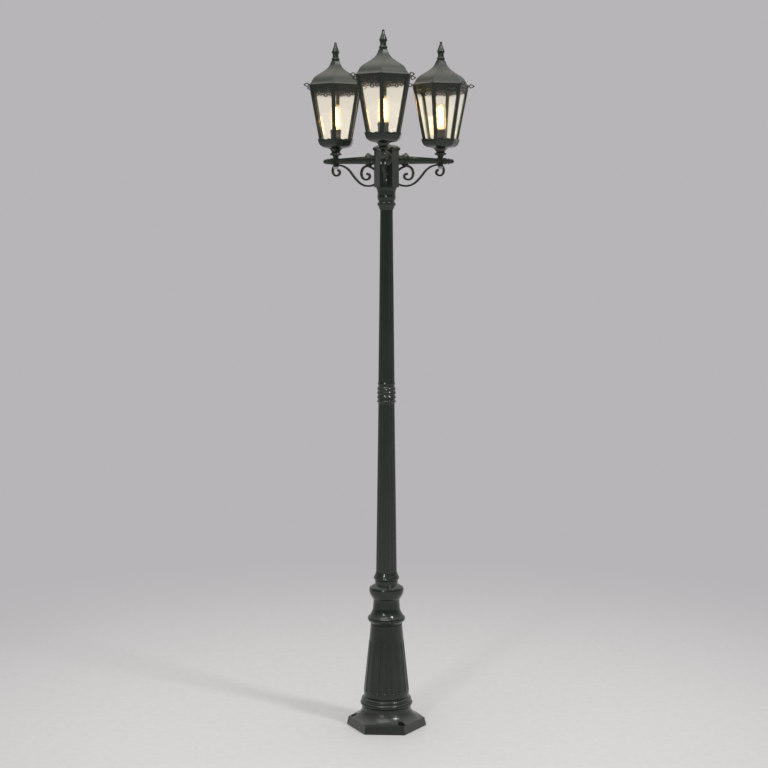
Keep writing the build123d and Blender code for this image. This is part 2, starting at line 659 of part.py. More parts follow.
LANTERN_PIECES = {
    "lantern_cup": lantern_cup,
    "lantern_cage": lantern_cage,
    "lantern_panes": lantern_panes,
    "lantern_frieze": lantern_frieze,
    "roof_bridge": roof_bridge,
    "lantern_roof": lantern_roof,
    "finial_nut": finial_nut,
    "lampholder": lampholder,
    "bulb": bulb,
}


def build():
    joints = (VASE_SCREWS, MIDDLE_SCREWS, CAPITAL_SCREWS)
    post = {
        "base_casting": base_casting(),
        "vase_collar": vase_collar(),
        "lower_shaft": shaft(VASE_TOP, MIDDLE_LOW, SHAFT_LOW_RADIUS, SHAFT_MIDDLE_RADIUS),
        "middle_joint": middle_joint(),
        "upper_shaft": shaft(MIDDLE_TOP, CAPITAL_LOW, SHAFT_MIDDLE_RADIUS, SHAFT_TOP_RADIUS),
        "capital": capital(),
        "hub": hub(),
        "hub_cap": hub_cap(),
        "hub_cap_screw": hub_cap_screw(),
        "base_spigot": spigot(BASE_TOP - 30, VASE_TOP + 80, BASE_SPIGOT),
        "middle_spigot": spigot(MIDDLE_LOW - 50, MIDDLE_TOP + 50, MIDDLE_SPIGOT),
        "top_spigot": spigot(CAPITAL_LOW - 50, HUB_LOW + HUB_FLOOR, TOP_SPIGOT),
        "terminal_block": terminal_block(),
        "grub_screws": [screw for place in joints for screw in grub_screws(place)],
    }
    brackets = []
    for name in ARM_NAMES:
        brackets += [on_arm(name, bracket_screw(level)) for level in bracket_screw_levels()]
        post[f"{name}_arm"] = on_arm(name, arm())
        post[f"{name}_arm_knob"] = on_arm(name, arm_knob())
        post[f"{name}_scroll_bracket"] = on_arm(name, scroll_bracket())
        post[f"{name}_lantern_pillar"] = on_arm(name, lantern_pillar())
        post[f"{name}_stem_tube"] = on_arm(name, stem_tube())
        post[f"{name}_arm_nuts"] = [on_arm(name, nut) for nut in arm_nuts()]
        for piece, maker in LANTERN_PIECES.items():
            post[f"{name}_{piece}"] = on_lantern_axis(name, maker())
    post["bracket_screws"] = brackets
    return post


os.makedirs("parts", exist_ok=True)
for node, shape in build().items():
    if isinstance(shape, list):
        shape = Compound(children=[solid for piece in shape for solid in piece.solids()])
    export_step(shape, f"parts/{node}.step")
    print(node, round(shape.volume), "mm3")
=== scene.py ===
# %% [markdown]
# # Triple head lamp post
#
# This file dresses a finished construction model of a tall cast lamp post: base, fluted shaft,
# six-sided hub, three scrolled arms and three six-sided lanterns. The construction model gives
# every solid its real size and place, so nothing here is moved or scaled. What this file adds is
# the finish of every surface, the fine ornament, the lamps that glow, the light and the camera.

# %% Load the construction model
import math

import bmesh
import bpy
from mathutils import Matrix, Vector


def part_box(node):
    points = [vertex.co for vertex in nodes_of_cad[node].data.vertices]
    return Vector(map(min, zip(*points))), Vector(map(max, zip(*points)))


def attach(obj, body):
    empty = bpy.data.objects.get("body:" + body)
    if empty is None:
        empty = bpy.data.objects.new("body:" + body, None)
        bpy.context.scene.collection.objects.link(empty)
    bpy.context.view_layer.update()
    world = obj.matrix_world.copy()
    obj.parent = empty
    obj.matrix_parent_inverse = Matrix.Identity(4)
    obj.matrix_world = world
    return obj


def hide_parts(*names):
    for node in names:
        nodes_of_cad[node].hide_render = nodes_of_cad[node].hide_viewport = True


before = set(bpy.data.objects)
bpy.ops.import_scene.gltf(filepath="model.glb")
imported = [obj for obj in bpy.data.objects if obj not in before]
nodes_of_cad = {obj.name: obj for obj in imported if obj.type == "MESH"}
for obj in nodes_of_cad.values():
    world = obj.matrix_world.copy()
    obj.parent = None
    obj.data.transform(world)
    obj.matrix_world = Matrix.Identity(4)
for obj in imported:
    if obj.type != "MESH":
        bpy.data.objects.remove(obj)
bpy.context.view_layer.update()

# %% [markdown]
# ## Camera
#
# The photograph was taken standing up, a little over five metres away, with a short telephoto
# lens pointed slightly down. A camera in Blender looks along its own -Z axis, so it is easiest to
# place it by a heading and a pitch: turn it level first (90 degrees about X), tip it by the pitch,
# then turn it about the vertical by the heading.

# %% Camera
CAMERA_PLACE = (0.277, -5.378, 1.694)
CAMERA_HEADING = 3.04
CAMERA_PITCH = -5.1
CAMERA_LENS = 72.79

camera_data = bpy.data.cameras.new("photo_camera")
camera_data.lens = CAMERA_LENS
camera_data.sensor_width = 36.0
camera = bpy.data.objects.new("photo_camera", camera_data)
camera.location = CAMERA_PLACE
camera.rotation_euler = (math.radians(90 + CAMERA_PITCH), 0, math.radians(CAMERA_HEADING))
bpy.context.scene.collection.objects.link(camera)
bpy.context.scene.camera = camera
print("camera at", CAMERA_PLACE)

# %% [markdown]
# ## Node helpers
#
# Every material below is a small network. Three helpers keep the networks readable: one makes a
# material and hands back its Principled shader, one makes a group with named sockets, and one
# adds a node and fills its inputs in a single call. An input that is given another node's socket
# is linked, and any other value is written into the socket.

# %% Node helpers
def put(tree, kind, settings=None, **inputs):
    """Adds a node, sets its properties, and fills or links its inputs by name."""
    node = tree.nodes.new(kind)
    for name, value in (settings or {}).items():
        setattr(node, name, value)
    for name, value in inputs.items():
        key = int(name[1:]) if name[0] == "i" and name[1:].isdigit() else name.replace("_", " ")
        if isinstance(value, bpy.types.NodeSocket):
            tree.links.new(value, node.inputs[key])
        else:
            node.inputs[key].default_value = value
    return node


def new_material(name):
    """A material with only its Principled shader and output; returns it, its tree and the shader."""
    made = bpy.data.materials.new(name)
    made.use_nodes = True
    return made, made.node_tree, made.node_tree.nodes["Principled BSDF"]


def new_group(name, inputs, outputs):
    """A shader node group with named inputs (name, type, default) and outputs (name, type)."""
    tree = bpy.data.node_groups.new(name, "ShaderNodeTree")
    for label, kind, value in inputs:
        socket = tree.interface.new_socket(label, in_out="INPUT", socket_type="NodeSocket" + kind)
        socket.default_value = value
    for label, kind in outputs:
        tree.interface.new_socket(label, in_out="OUTPUT", socket_type="NodeSocket" + kind)
    return tree, tree.nodes.new("NodeGroupInput"), tree.nodes.new("NodeGroupOutput")


def use_group(tree, group, **inputs):
    """Places a group in a material with its own values."""
    node = tree.nodes.new("ShaderNodeGroup")
    node.node_tree = group
    for name, value in inputs.items():
        key = name.replace("_", " ")
        if isinstance(value, bpy.types.NodeSocket):
            tree.links.new(value, node.inputs[key])
        else:
            node.inputs[key].default_value = value
    return node


print("helpers ready")

# %% [markdown]
# ## Cast and sprayed skin
#
# The real post is cast aluminium under a thick glossy coat. Up close such a coat is never flat:
# it has orange peel, a dimpling about a millimetre across, and under it the slow swells that the
# sand mould left. An image texture could hold that, but noise needs no unwrapping and looks the
# same on every casting, so this group adds two noises. It puts out only a height, which each
# material turns into a normal with its own Bump node.

# %% Group: cast skin
cast_skin, skin_in, skin_out = new_group(
    "cast_skin",
    [("Peel Scale", "Float", 900.0), ("Peel Share", "Float", 0.35), ("Swell Scale", "Float", 70.0)],
    [("Height", "Float")],
)
skin_place = put(cast_skin, "ShaderNodeTexCoord")
peel = put(
    cast_skin, "ShaderNodeTexNoise", Vector=skin_place.outputs["Object"],
    Scale=skin_in.outputs["Peel Scale"], Detail=1.0, Roughness=0.4,
)
swell = put(
    cast_skin, "ShaderNodeTexNoise", Vector=skin_place.outputs["Object"],
    Scale=skin_in.outputs["Swell Scale"], Detail=2.0, Roughness=0.5,
)
skin_mix = put(
    cast_skin, "ShaderNodeMix", {"data_type": "FLOAT"}, Factor=skin_in.outputs["Peel Share"],
    i2=swell.outputs["Fac"], i3=peel.outputs["Fac"],
)
cast_skin.links.new(skin_mix.outputs["Result"], skin_out.inputs["Height"])
print("group", cast_skin.name)

# %% [markdown]
# ## Outdoor film, and painted top light on the roofs
#
# Anything that stands outdoors takes on a thin film: fine dust that settles where a surface looks
# up, a little soil that splashes against the first hand's breadth above the ground, and faint
# runs down the sides where rain dries. The mask of each is easy to work out from the normal and
# from the height, and noise breaks its edge. The group mixes the clean colour with the film's
# colour, and puts out the mask too, so that a material can be duller where it is dusty. On the
# roofs the share for faces that look up is set almost to full, and there it is painted light as
# well as dust: it makes the upper faces lighter, as light from above would.

# %% Group: outdoor film and painted top light
outdoor_film_and_top_light, film_in, film_out = new_group(
    "outdoor_film_and_top_light",
    [
        ("Clean", "Color", (0.5, 0.5, 0.5, 1)), ("Film", "Color", (0.2, 0.18, 0.15, 1)),
        ("Settled", "Float", 0.3), ("Splashed", "Float", 0.4), ("Runs", "Float", 0.1),
        ("Splash Height", "Float", 0.12),
    ],
    [("Color", "Color"), ("Mask", "Float")],
)
film_place = put(outdoor_film_and_top_light, "ShaderNodeTexCoord")
film_shape = put(outdoor_film_and_top_light, "ShaderNodeNewGeometry")
film_axes = put(outdoor_film_and_top_light, "ShaderNodeSeparateXYZ", Vector=film_place.outputs["Object"])
film_normal = put(outdoor_film_and_top_light, "ShaderNodeSeparateXYZ", Vector=film_shape.outputs["Normal"])
speckle = put(
    outdoor_film_and_top_light, "ShaderNodeTexNoise", Vector=film_place.outputs["Object"], Scale=160.0, Detail=5.0,
    Roughness=0.65,
)
looks_up = put(
    outdoor_film_and_top_light, "ShaderNodeMapRange", Value=film_normal.outputs["Z"], From_Min=0.25, From_Max=1.0,
)
# Where this share is high, as on the roofs, the lighter upper faces are painted top light as well as
# dust.
settled_dust_and_top_light = put(
    outdoor_film_and_top_light, "ShaderNodeMath", {"operation": "MULTIPLY"}, i0=looks_up.outputs["Result"],
    i1=film_in.outputs["Settled"],
)
near_ground = put(
    outdoor_film_and_top_light, "ShaderNodeMapRange", Value=film_axes.outputs["Z"],
    From_Min=film_in.outputs["Splash Height"], From_Max=0.0,
)
splashed = put(
    outdoor_film_and_top_light, "ShaderNodeMath", {"operation": "MULTIPLY"}, i0=near_ground.outputs["Result"],
    i1=film_in.outputs["Splashed"],
)
stretched = put(
    outdoor_film_and_top_light, "ShaderNodeMapping", Vector=film_place.outputs["Object"], Scale=(1.0, 1.0, 0.04),
)
run_noise = put(
    outdoor_film_and_top_light, "ShaderNodeTexNoise", Vector=stretched.outputs["Vector"], Scale=260.0, Detail=3.0,
)
run_mask = put(
    outdoor_film_and_top_light, "ShaderNodeMapRange", Value=run_noise.outputs["Fac"], From_Min=0.5, From_Max=0.75,
)
runs = put(
    outdoor_film_and_top_light, "ShaderNodeMath", {"operation": "MULTIPLY"}, i0=run_mask.outputs["Result"],
    i1=film_in.outputs["Runs"],
)
film_sum = put(
    outdoor_film_and_top_light, "ShaderNodeMath", {"operation": "ADD"}, i0=settled_dust_and_top_light.outputs["Value"],
    i1=splashed.outputs["Value"],
)
film_total = put(
    outdoor_film_and_top_light, "ShaderNodeMath", {"operation": "ADD"}, i0=film_sum.outputs["Value"],
    i1=runs.outputs["Value"],
)
film_broken = put(
    outdoor_film_and_top_light, "ShaderNodeMapRange", Value=speckle.outputs["Fac"], From_Min=0.3, From_Max=0.7,
    To_Min=0.4, To_Max=1.0,
)
film_and_top_light_mask = put(
    outdoor_film_and_top_light, "ShaderNodeMath", {"operation": "MULTIPLY", "use_clamp": True},
    i0=film_total.outputs["Value"], i1=film_broken.outputs["Result"],
)
film_and_top_light_colour = put(
    outdoor_film_and_top_light, "ShaderNodeMix", {"data_type": "RGBA"}, Factor=film_and_top_light_mask.outputs["Value"],
    i6=film_in.outputs["Clean"], i7=film_in.outputs["Film"],
)
outdoor_film_and_top_light.links.new(film_and_top_light_colour.outputs[2], film_out.inputs["Color"])
outdoor_film_and_top_light.links.new(film_and_top_light_mask.outputs["Value"], film_out.inputs["Mask"])
print("group", outdoor_film_and_top_light.name)

# %% [markdown]
# ## Dark green gloss paint
#
# The paint is a green so deep that it reads as black until light falls on it, and most of what
# the eye sees is gloss. A Principled shader with a low roughness does that. The colour wanders
# a little, because a sprayed coat is thicker in hollows than on edges. The Bevel node gives each
# sharp corner of a casting the small radius that paint rounds it to, so that corners catch a
# thin line of light.

# %% Material: green gloss paint
PAINT_DEEP = (0.0095, 0.0150, 0.0110, 1)
PAINT_THIN = (0.018, 0.0265, 0.0195, 1)
# Colour of the film; on the roofs it also serves as painted top light on the upper faces.
PAINT_DUST_AND_TOP_LIGHT = (0.11, 0.105, 0.085, 1)


def green_paint(name, peel_depth, settled_dust_and_top_light, splashed, clean_gloss=0.14):
    """The post's paint; peel_depth is the bump's height in metres."""
    made, tree, shader = new_material(name)
    place = put(tree, "ShaderNodeTexCoord")
    cloud = put(
        tree, "ShaderNodeTexNoise", Vector=place.outputs["Object"], Scale=9.0, Detail=3.0,
    )
    coat = put(
        tree, "ShaderNodeMix", {"data_type": "RGBA"}, Factor=cloud.outputs["Fac"],
        i6=PAINT_DEEP, i7=PAINT_THIN,
    )
    film_and_top_light = use_group(
        tree, outdoor_film_and_top_light, Clean=coat.outputs[2], Film=PAINT_DUST_AND_TOP_LIGHT, Settled=settled_dust_and_top_light,
        Splashed=splashed, Runs=0.05,
    )
    gloss = put(
        tree, "ShaderNodeMapRange", Value=film_and_top_light.outputs["Mask"], To_Min=clean_gloss, To_Max=0.6,
    )
    skin = use_group(tree, cast_skin)
    corner = put(tree, "ShaderNodeBevel", {"samples": 4}, Radius=0.0008)
    bump = put(
        tree, "ShaderNodeBump", Height=skin.outputs["Height"], Normal=corner.outputs["Normal"],
        Distance=peel_depth, Strength=1.0,
    )
    tree.links.new(film_and_top_light.outputs["Color"], shader.inputs["Base Color"])
    tree.links.new(gloss.outputs["Result"], shader.inputs["Roughness"])
    tree.links.new(bump.outputs["Normal"], shader.inputs["Normal"])
    return made


paint = green_paint("green_gloss_paint", 0.0002, 0.06, 0.0)
base_paint = green_paint("green_gloss_paint_base", 0.0003, 0.08, 0.22)
# Roof paint: its film on up-facing faces is set almost to full, painted top light as well as dust.
roof_paint = green_paint("green_gloss_paint_roof", 0.0002, 0.95, 0.0, 0.34)
print("paints", paint.name, base_paint.name, roof_paint.name)

# %% [markdown]
# ## Zinc plated steel
#
# Spigots, screws, stems and the strap under the roof are steel with a thin zinc coat. Zinc is a
# metal with a grey, slightly blotchy gloss, so Metallic is 1 and noise moves the roughness.

# %% Material: zinc plated steel
zinc, zinc_tree, zinc_shader = new_material("zinc_plated_steel")
zinc_place = put(zinc_tree, "ShaderNodeTexCoord")
zinc_blotch = put(
    zinc_tree, "ShaderNodeTexNoise", Vector=zinc_place.outputs["Object"], Scale=220.0, Detail=4.0,
)
zinc_colour = put(
    zinc_tree, "ShaderNodeMix", {"data_type": "RGBA"}, Factor=zinc_blotch.outputs["Fac"],
    i6=(0.42, 0.43, 0.42, 1), i7=(0.62, 0.62, 0.58, 1),
)
zinc_gloss = put(
    zinc_tree, "ShaderNodeMapRange", Value=zinc_blotch.outputs["Fac"], To_Min=0.28, To_Max=0.5,
)
zinc_skin = use_group(zinc_tree, cast_skin, Peel_Scale=1500.0, Peel_Share=0.8)
zinc_bump = put(zinc_tree, "ShaderNodeBump", Height=zinc_skin.outputs["Height"], Distance=0.00006)
zinc_shader.inputs["Metallic"].default_value = 1.0
zinc_tree.links.new(zinc_colour.outputs[2], zinc_shader.inputs["Base Color"])
zinc_tree.links.new(zinc_gloss.outputs["Result"], zinc_shader.inputs["Roughness"])
zinc_tree.links.new(zinc_bump.outputs["Normal"], zinc_shader.inputs["Normal"])
print("metal", zinc.name)

# %% [markdown]
# ## Plastics inside
#
# The lampholder is a dark heat-proof moulding and the connector block in the hub a pale one. Both
# are plain plastics with a slight moulded texture, so one function makes them with other values.

# %% Material: moulded plastics
def moulded_plastic(name, dark, light, gloss_low, gloss_high):
    """A moulding whose colour and gloss drift slightly over its surface."""
    made, tree, shader = new_material(name)
    place = put(tree, "ShaderNodeTexCoord")
    drift = put(tree, "ShaderNodeTexNoise", Vector=place.outputs["Object"], Scale=90.0, Detail=4.0)
    colour = put(
        tree, "ShaderNodeMix", {"data_type": "RGBA"}, Factor=drift.outputs["Fac"], i6=dark, i7=light,
    )
    gloss = put(
        tree, "ShaderNodeMapRange", Value=drift.outputs["Fac"], To_Min=gloss_low, To_Max=gloss_high,
    )
    skin = use_group(tree, cast_skin, Peel_Scale=2600.0, Peel_Share=0.7)
    bump = put(tree, "ShaderNodeBump", Height=skin.outputs["Height"], Distance=0.00005)
    tree.links.new(colour.outputs[2], shader.inputs["Base Color"])
    tree.links.new(gloss.outputs["Result"], shader.inputs["Roughness"])
    tree.links.new(bump.outputs["Normal"], shader.inputs["Normal"])
    return made


holder_plastic = moulded_plastic(
    "lampholder_plastic", (0.006, 0.006, 0.0055, 1), (0.011, 0.0105, 0.0095, 1), 0.4, 0.55
)
block_plastic = moulded_plastic(
    "connector_plastic", (0.62, 0.61, 0.56, 1), (0.72, 0.71, 0.67, 1), 0.4, 0.55
)
print("plastics", holder_plastic.name, block_plastic.name)

# %% [markdown]
# ## Where the lanterns stand
#
# Everything that is added to a lantern is measured from its construction pieces. The finial's box
# gives the axis and the cage's box the eaves. The corners point the way that the arm does, apart
# from the right lantern, which is turned a little on its stem, so a table gives them. They lean
# outwards at a steady rate, which no box shows, so the lean is a named value as well.

# %% Lantern places
ARMS = ("front", "right", "left")
CORNER_AZIMUTH = {"front": -90.0, "right": 15.0, "left": 150.0}
BAR_LEAN = 0.2
CAGE_TOP_CORNER = 0.1014


class Lantern:
    """The axis, eaves level and side planes of one lantern, in metres."""

    def __init__(self, name):
        low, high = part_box(f"{name}_finial_nut")
        self.name = name
        self.axis = Vector(((low.x + high.x) / 2, (low.y + high.y) / 2, 0))
        self.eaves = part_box(f"{name}_lantern_cage")[1].z

    def side(self, index):
        """The plane of a cage side: X along it, Y up its lean, Z outwards, origin at the eaves."""
        turn = math.radians(CORNER_AZIMUTH[self.name] + 30 + 60 * index)
        apothem = CAGE_TOP_CORNER * math.cos(math.radians(30))
        lean = math.atan(BAR_LEAN * math.cos(math.radians(30)))
        place = Matrix.Translation(self.axis + Vector((0, 0, self.eaves)))
        tip = Matrix.Rotation(math.radians(90) + lean, 4, "X")
        upright = Matrix.Rotation(turn + math.radians(90), 4, "Z")
        return place @ upright @ Matrix.Translation((0, -apothem, 0)) @ tip


lanterns = {name: Lantern(name) for name in ARMS}
for name, lantern in lanterns.items():
    print(name, "lantern axis", round(lantern.axis.x, 3), round(lantern.axis.y, 3))

# %% [markdown]
# ## Clear glass
#
# Clean glass in a render is a surface that passes almost everything and mirrors a little more at a
# glancing angle. Principled does that with Transmission Weight at 1. Its one weakness is that a
# lamp behind it can't be reached by the renderer's direct light, so a Mix Shader puts in a plain
# Transparent shader for shadow rays, which lets the lamps light the cage through their panes. The
# lit panes of the real lantern look creamy, and here that look is painted light: a weak emission on
# the glass stands in for the lamp's light caught in it. The group below finds the inner faces,
# where the normal points back to the lamp, and gives them a painted glow whose colour fades from
# warm near the lamp to pale away from it. It stops below the frieze, whose inner side a glow would
# veil. The material uses the colour as a weak emission.

# %% Group: painted lamp glow
FRIEZE_HEM = 2.218
HEM_BLUR = 0.005

painted_lamp_glow, scatter_in, scatter_out = new_group(
    "painted_lamp_glow",
    [("Centre", "Vector", (0, 0, 0)), ("Near", "Float", 0.03), ("Far", "Float", 0.16),
     ("Warm", "Color", (1, 0.93, 0.68, 1)), ("Pale", "Color", (0.54, 0.56, 0.40, 1))],
    [("Color", "Color")],
)
scatter_place = put(painted_lamp_glow, "ShaderNodeTexCoord")
scatter_far = put(
    painted_lamp_glow, "ShaderNodeVectorMath", {"operation": "DISTANCE"},
    i0=scatter_place.outputs["Object"], i1=scatter_in.outputs["Centre"],
)
scatter_fade = put(
    painted_lamp_glow, "ShaderNodeMapRange", {"interpolation_type": "SMOOTHSTEP"},
    Value=scatter_far.outputs["Value"], From_Min=scatter_in.outputs["Near"],
    From_Max=scatter_in.outputs["Far"], To_Min=1.0, To_Max=0.0,
)
scatter_ripple = put(
    painted_lamp_glow, "ShaderNodeTexNoise", Vector=scatter_place.outputs["Object"], Scale=22.0, Detail=2.0,
)
scatter_waver = put(
    painted_lamp_glow, "ShaderNodeMapRange", Value=scatter_ripple.outputs["Fac"], From_Min=0.3,
    From_Max=0.7, To_Min=0.75, To_Max=1.0,
)
# Painted glow: how strongly the painted lamp light shows on the glass, fading away from the lamp.
painted_glow_mask = put(
    painted_lamp_glow, "ShaderNodeMath", {"operation": "MULTIPLY"}, i0=scatter_fade.outputs["Result"],
    i1=scatter_waver.outputs["Result"],
)
painted_glow_colour = put(
    painted_lamp_glow, "ShaderNodeMix", {"data_type": "RGBA"}, Factor=painted_glow_mask.outputs["Value"],
    i6=scatter_in.outputs["Pale"], i7=scatter_in.outputs["Warm"],
)
scatter_shape = put(painted_lamp_glow, "ShaderNodeNewGeometry")
scatter_way = put(
    painted_lamp_glow, "ShaderNodeVectorMath", {"operation": "SUBTRACT"}, i0=scatter_in.outputs["Centre"],
    i1=scatter_place.outputs["Object"],
)
scatter_facing = put(
    painted_lamp_glow, "ShaderNodeVectorMath", {"operation": "DOT_PRODUCT"},
    i0=scatter_shape.outputs["Normal"], i1=scatter_way.outputs["Vector"],
)
scatter_inner = put(
    painted_lamp_glow, "ShaderNodeMath", {"operation": "GREATER_THAN"},
    i0=scatter_facing.outputs["Value"], i1=0.0,
)
scatter_axes = put(painted_lamp_glow, "ShaderNodeSeparateXYZ", Vector=scatter_place.outputs["Object"])
scatter_top = put(
    painted_lamp_glow, "ShaderNodeMapRange", {"interpolation_type": "SMOOTHSTEP"},
    Value=scatter_axes.outputs["Z"], From_Min=FRIEZE_HEM + HEM_BLUR, From_Max=FRIEZE_HEM - HEM_BLUR,
    To_Min=0.0, To_Max=1.0,
)
scatter_where = put(
    painted_lamp_glow, "ShaderNodeMath", {"operation": "MULTIPLY"}, i0=scatter_inner.outputs["Value"],
    i1=scatter_top.outputs["Result"],
)
painted_glow_shown = put(
    painted_lamp_glow, "ShaderNodeMix", {"data_type": "RGBA"}, Factor=scatter_where.outputs["Value"],
    i6=(0, 0, 0, 1), i7=painted_glow_colour.outputs[2],
)
painted_lamp_glow.links.new(painted_glow_shown.outputs[2], scatter_out.inputs["Color"])
print("group", painted_lamp_glow.name)

# %% [markdown]
# ## Glass of each lantern
#
# Each lantern gets its own glass, because its painted glow is measured from the lamp at its middle.
# The constant values stay on the Principled shader's own sockets, and the shadow ray mix is made
# here too, since a group should put out only colours and masks.

# %% Material: lantern glass
LAMP_LEVEL = 2.142
PAINTED_PANE_GLOW = 0.2


def lantern_glass(lantern):
    """Glass for one lantern's panes, with a faint painted glow that fades from the lamp at its middle.
    """
    made, tree, shader = new_material(f"{lantern.name}_pane_glass")
    painted_glow = use_group(tree, painted_lamp_glow, Centre=lantern.axis + Vector((0, 0, LAMP_LEVEL)))
    shader.inputs["Base Color"].default_value = (1.0, 0.975, 0.93, 1)
    shader.inputs["Roughness"].default_value = 0.02
    shader.inputs["IOR"].default_value = 1.46
    shader.inputs["Transmission Weight"].default_value = 1.0
    # Painted light: the panes glow faintly with the colour of the painted lamp glow.
    shader.inputs["Emission Strength"].default_value = PAINTED_PANE_GLOW
    tree.links.new(painted_glow.outputs["Color"], shader.inputs["Emission Color"])
    path = put(tree, "ShaderNodeLightPath")
    clear = put(tree, "ShaderNodeBsdfTransparent", Color=(0.96, 0.94, 0.9, 1))
    mixed = put(
        tree, "ShaderNodeMixShader", i0=path.outputs["Is Shadow Ray"], i1=shader.outputs["BSDF"],
        i2=clear.outputs["BSDF"],
    )
    tree.links.new(mixed.outputs["Shader"], tree.nodes["Material Output"].inputs["Surface"])
    return made


pane_glass = {name: lantern_glass(lantern) for name, lantern in lanterns.items()}
print("glass for", len(pane_glass), "lanterns")

# %% [markdown]
# ## Finish of the construction pieces
#
# Each piece of the construction model keeps its mesh and gets a material by its role. The names
# tell the role, so one table of name endings is enough.

# %% Assign materials
def finish_of(node):
    """The material for a construction piece, by its name."""
    endings = {
        "lampholder": holder_plastic, "terminal_block": block_plastic, "spigot": zinc,
        "stem_tube": zinc, "roof_bridge": zinc, "screws": zinc, "cap_screw": zinc, "nuts": zinc,
        "base_casting": base_paint, "lantern_roof": roof_paint,
    }
    for name, glass in pane_glass.items():
        if node == f"{name}_lantern_panes":
            return glass
    for ending, made in endings.items():
        if node.endswith(ending):
            return made
    return paint


for node, piece in nodes_of_cad.items():
    piece.data.materials.clear()
    piece.data.materials.append(finish_of(node))
print("materials on", len(nodes_of_cad), "pieces")

# %% [markdown]
# ## Mesh helpers
#
# Turned pieces are made by spinning a profile, as a lathe does. Flat ornament is cut from a filled
# 2D curve, and rims, rods and wires are bevelled 3D curves. Each helper gives back a mesh, and
# gather joins several into one. Then add_object makes the mesh a piece with a material, and lets
# it ride on the body it moves with.

# %% Mesh helpers
def add_object(name, mesh, made, body, crease=38):
    """Links a mesh as a piece, gives it its material, and lets it ride on a body."""
    for polygon in mesh.polygons:
        polygon.use_smooth = True
    mesh.set_sharp_from_angle(angle=math.radians(crease))
    piece = bpy.data.objects.new(name, mesh)
    bpy.context.scene.collection.objects.link(piece)
    mesh.materials.append(made)
    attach(piece, body)
    return piece


def to_mesh(name, made):
    """Turns a finished bmesh into a mesh whose faces all look outwards."""
    bmesh.ops.remove_doubles(made, verts=made.verts, dist=0.000002)
    bmesh.ops.recalc_face_normals(made, faces=made.faces)
    mesh = bpy.data.meshes.new(name)
    made.to_mesh(mesh)
    made.free()
    return mesh


def spin_mesh(name, profile, axis, segments=40, closed=False):
    """A mesh turned from (radius, height) points about a vertical axis; radius 0 is a pole."""
    made = bmesh.new()
    angles = [2 * math.pi * i / segments for i in range(segments)]
    rings = []
    for radius, height in profile:
        reach = [Vector((radius * math.cos(a), radius * math.sin(a), height)) for a in angles]
        count = segments if radius > 1e-6 else 1
        rings.append([made.verts.new(axis + point) for point in reach[:count]])
    pairs = list(zip(rings, rings[1:])) + ([(rings[-1], rings[0])] if closed else [])
    for low, high in pairs:
        for i in range(segments):
            j = (i + 1) % segments
            corners = [low[i % len(low)], low[j % len(low)], high[j % len(high)], high[i % len(high)]]
            face = list(dict.fromkeys(corners))
            if len(face) > 2:
                made.faces.new(face)
    return to_mesh(name, made)


def plate_mesh(loops, thickness, rounding):
    """A flat plate in XY, cut from closed outlines: the first is its edge, the others are holes."""
    curve = bpy.data.curves.new("plate", "CURVE")
    curve.dimensions = "2D"
    curve.fill_mode = "BOTH"
    curve.offset = -rounding
    curve.extrude = thickness / 2 - rounding
    curve.bevel_depth = rounding
    curve.bevel_resolution = 1
    for loop in loops:
        spline = curve.splines.new("POLY")
        spline.points.add(len(loop) - 1)
        for point, (x, y) in zip(spline.points, loop):
            point.co = (x, y, 0, 1)
        spline.use_cyclic_u = True
    return curve_mesh(curve)


def tube_mesh(path, radius, cyclic=False):
    """A round bead that follows a path of points."""
    curve = bpy.data.curves.new("bead", "CURVE")
    curve.dimensions = "3D"
    curve.bevel_depth = radius
    curve.bevel_resolution = 2
    curve.use_fill_caps = True
    spline = curve.splines.new("POLY")
    spline.points.add(len(path) - 1)
    for point, place in zip(spline.points, path):
        point.co = (*place, 1)
    spline.use_cyclic_u = cyclic
    return curve_mesh(curve)


def curve_mesh(curve):
    """The mesh of a curve; the curve itself is deleted."""
    holder = bpy.data.objects.new(curve.name, curve)
    mesh = bpy.data.meshes.new_from_object(holder)
    bpy.data.objects.remove(holder)
    bpy.data.curves.remove(curve)
    return mesh


def gather(name, parts):
    """One mesh from several (mesh, matrix) parts; the parts are deleted."""
    made = bmesh.new()
    for mesh, matrix in parts:
        placed = mesh.copy()
        placed.transform(matrix)
        made.from_mesh(placed)
        bpy.data.meshes.remove(placed)
    for mesh in {mesh for mesh, _ in parts}:
        bpy.data.meshes.remove(mesh)
    return to_mesh(name, made)


print("mesh helpers ready")

# %% [markdown]
# ## Frieze under the eaves
#
# Under the roof each side of a lantern carries a cast panel with a lobed lower edge: two small
# lobes on each side of a larger pointed one. The construction model has its plain outline. The
# real casting also has a rolled rim along the lobes, a row of beads below the roof, and small
# pierced holes. A flat 2D curve suits the plate, because Blender fills it and leaves inner loops
# open as holes, and a bevelled curve suits the rim. One panel is made flat and placed six times.

# %% Frieze ornament
FRIEZE_TOP = -0.0087
FRIEZE_TOP_HALF = 0.0406
FRIEZE_CUSPS = [
    (-0.0386, -0.0242), (-0.0265, -0.0205), (-0.0115, -0.0212), (0.0115, -0.0212), (0.0265, -0.0205),
    (0.0386, -0.0242),
]
FRIEZE_DROPS = [0.0052, 0.0050, 0.0100, 0.0050, 0.0052]
FRIEZE_FRONT = -0.0004
MIDDLE_HOLE = (0.0, -0.0222, 0.0062, 0.0095)
SIDE_HOLES = [
    (0.0088, -0.0172, 0.0042, 0.0068, 0.8), (0.0188, -0.0188, 0.0050, 0.0060, 0.0),
    (0.0262, -0.0146, 0.0030, 0.0040, 0.3), (0.0332, -0.0202, 0.0044, 0.0060, 0.0),
]
PLATE_BACK = -0.0028
PLATE_THICKNESS = 0.0016
PLATE_ROUNDING = 0.0003
RIM_RADIUS = 0.0009
BEAD_RADIUS = 0.0011
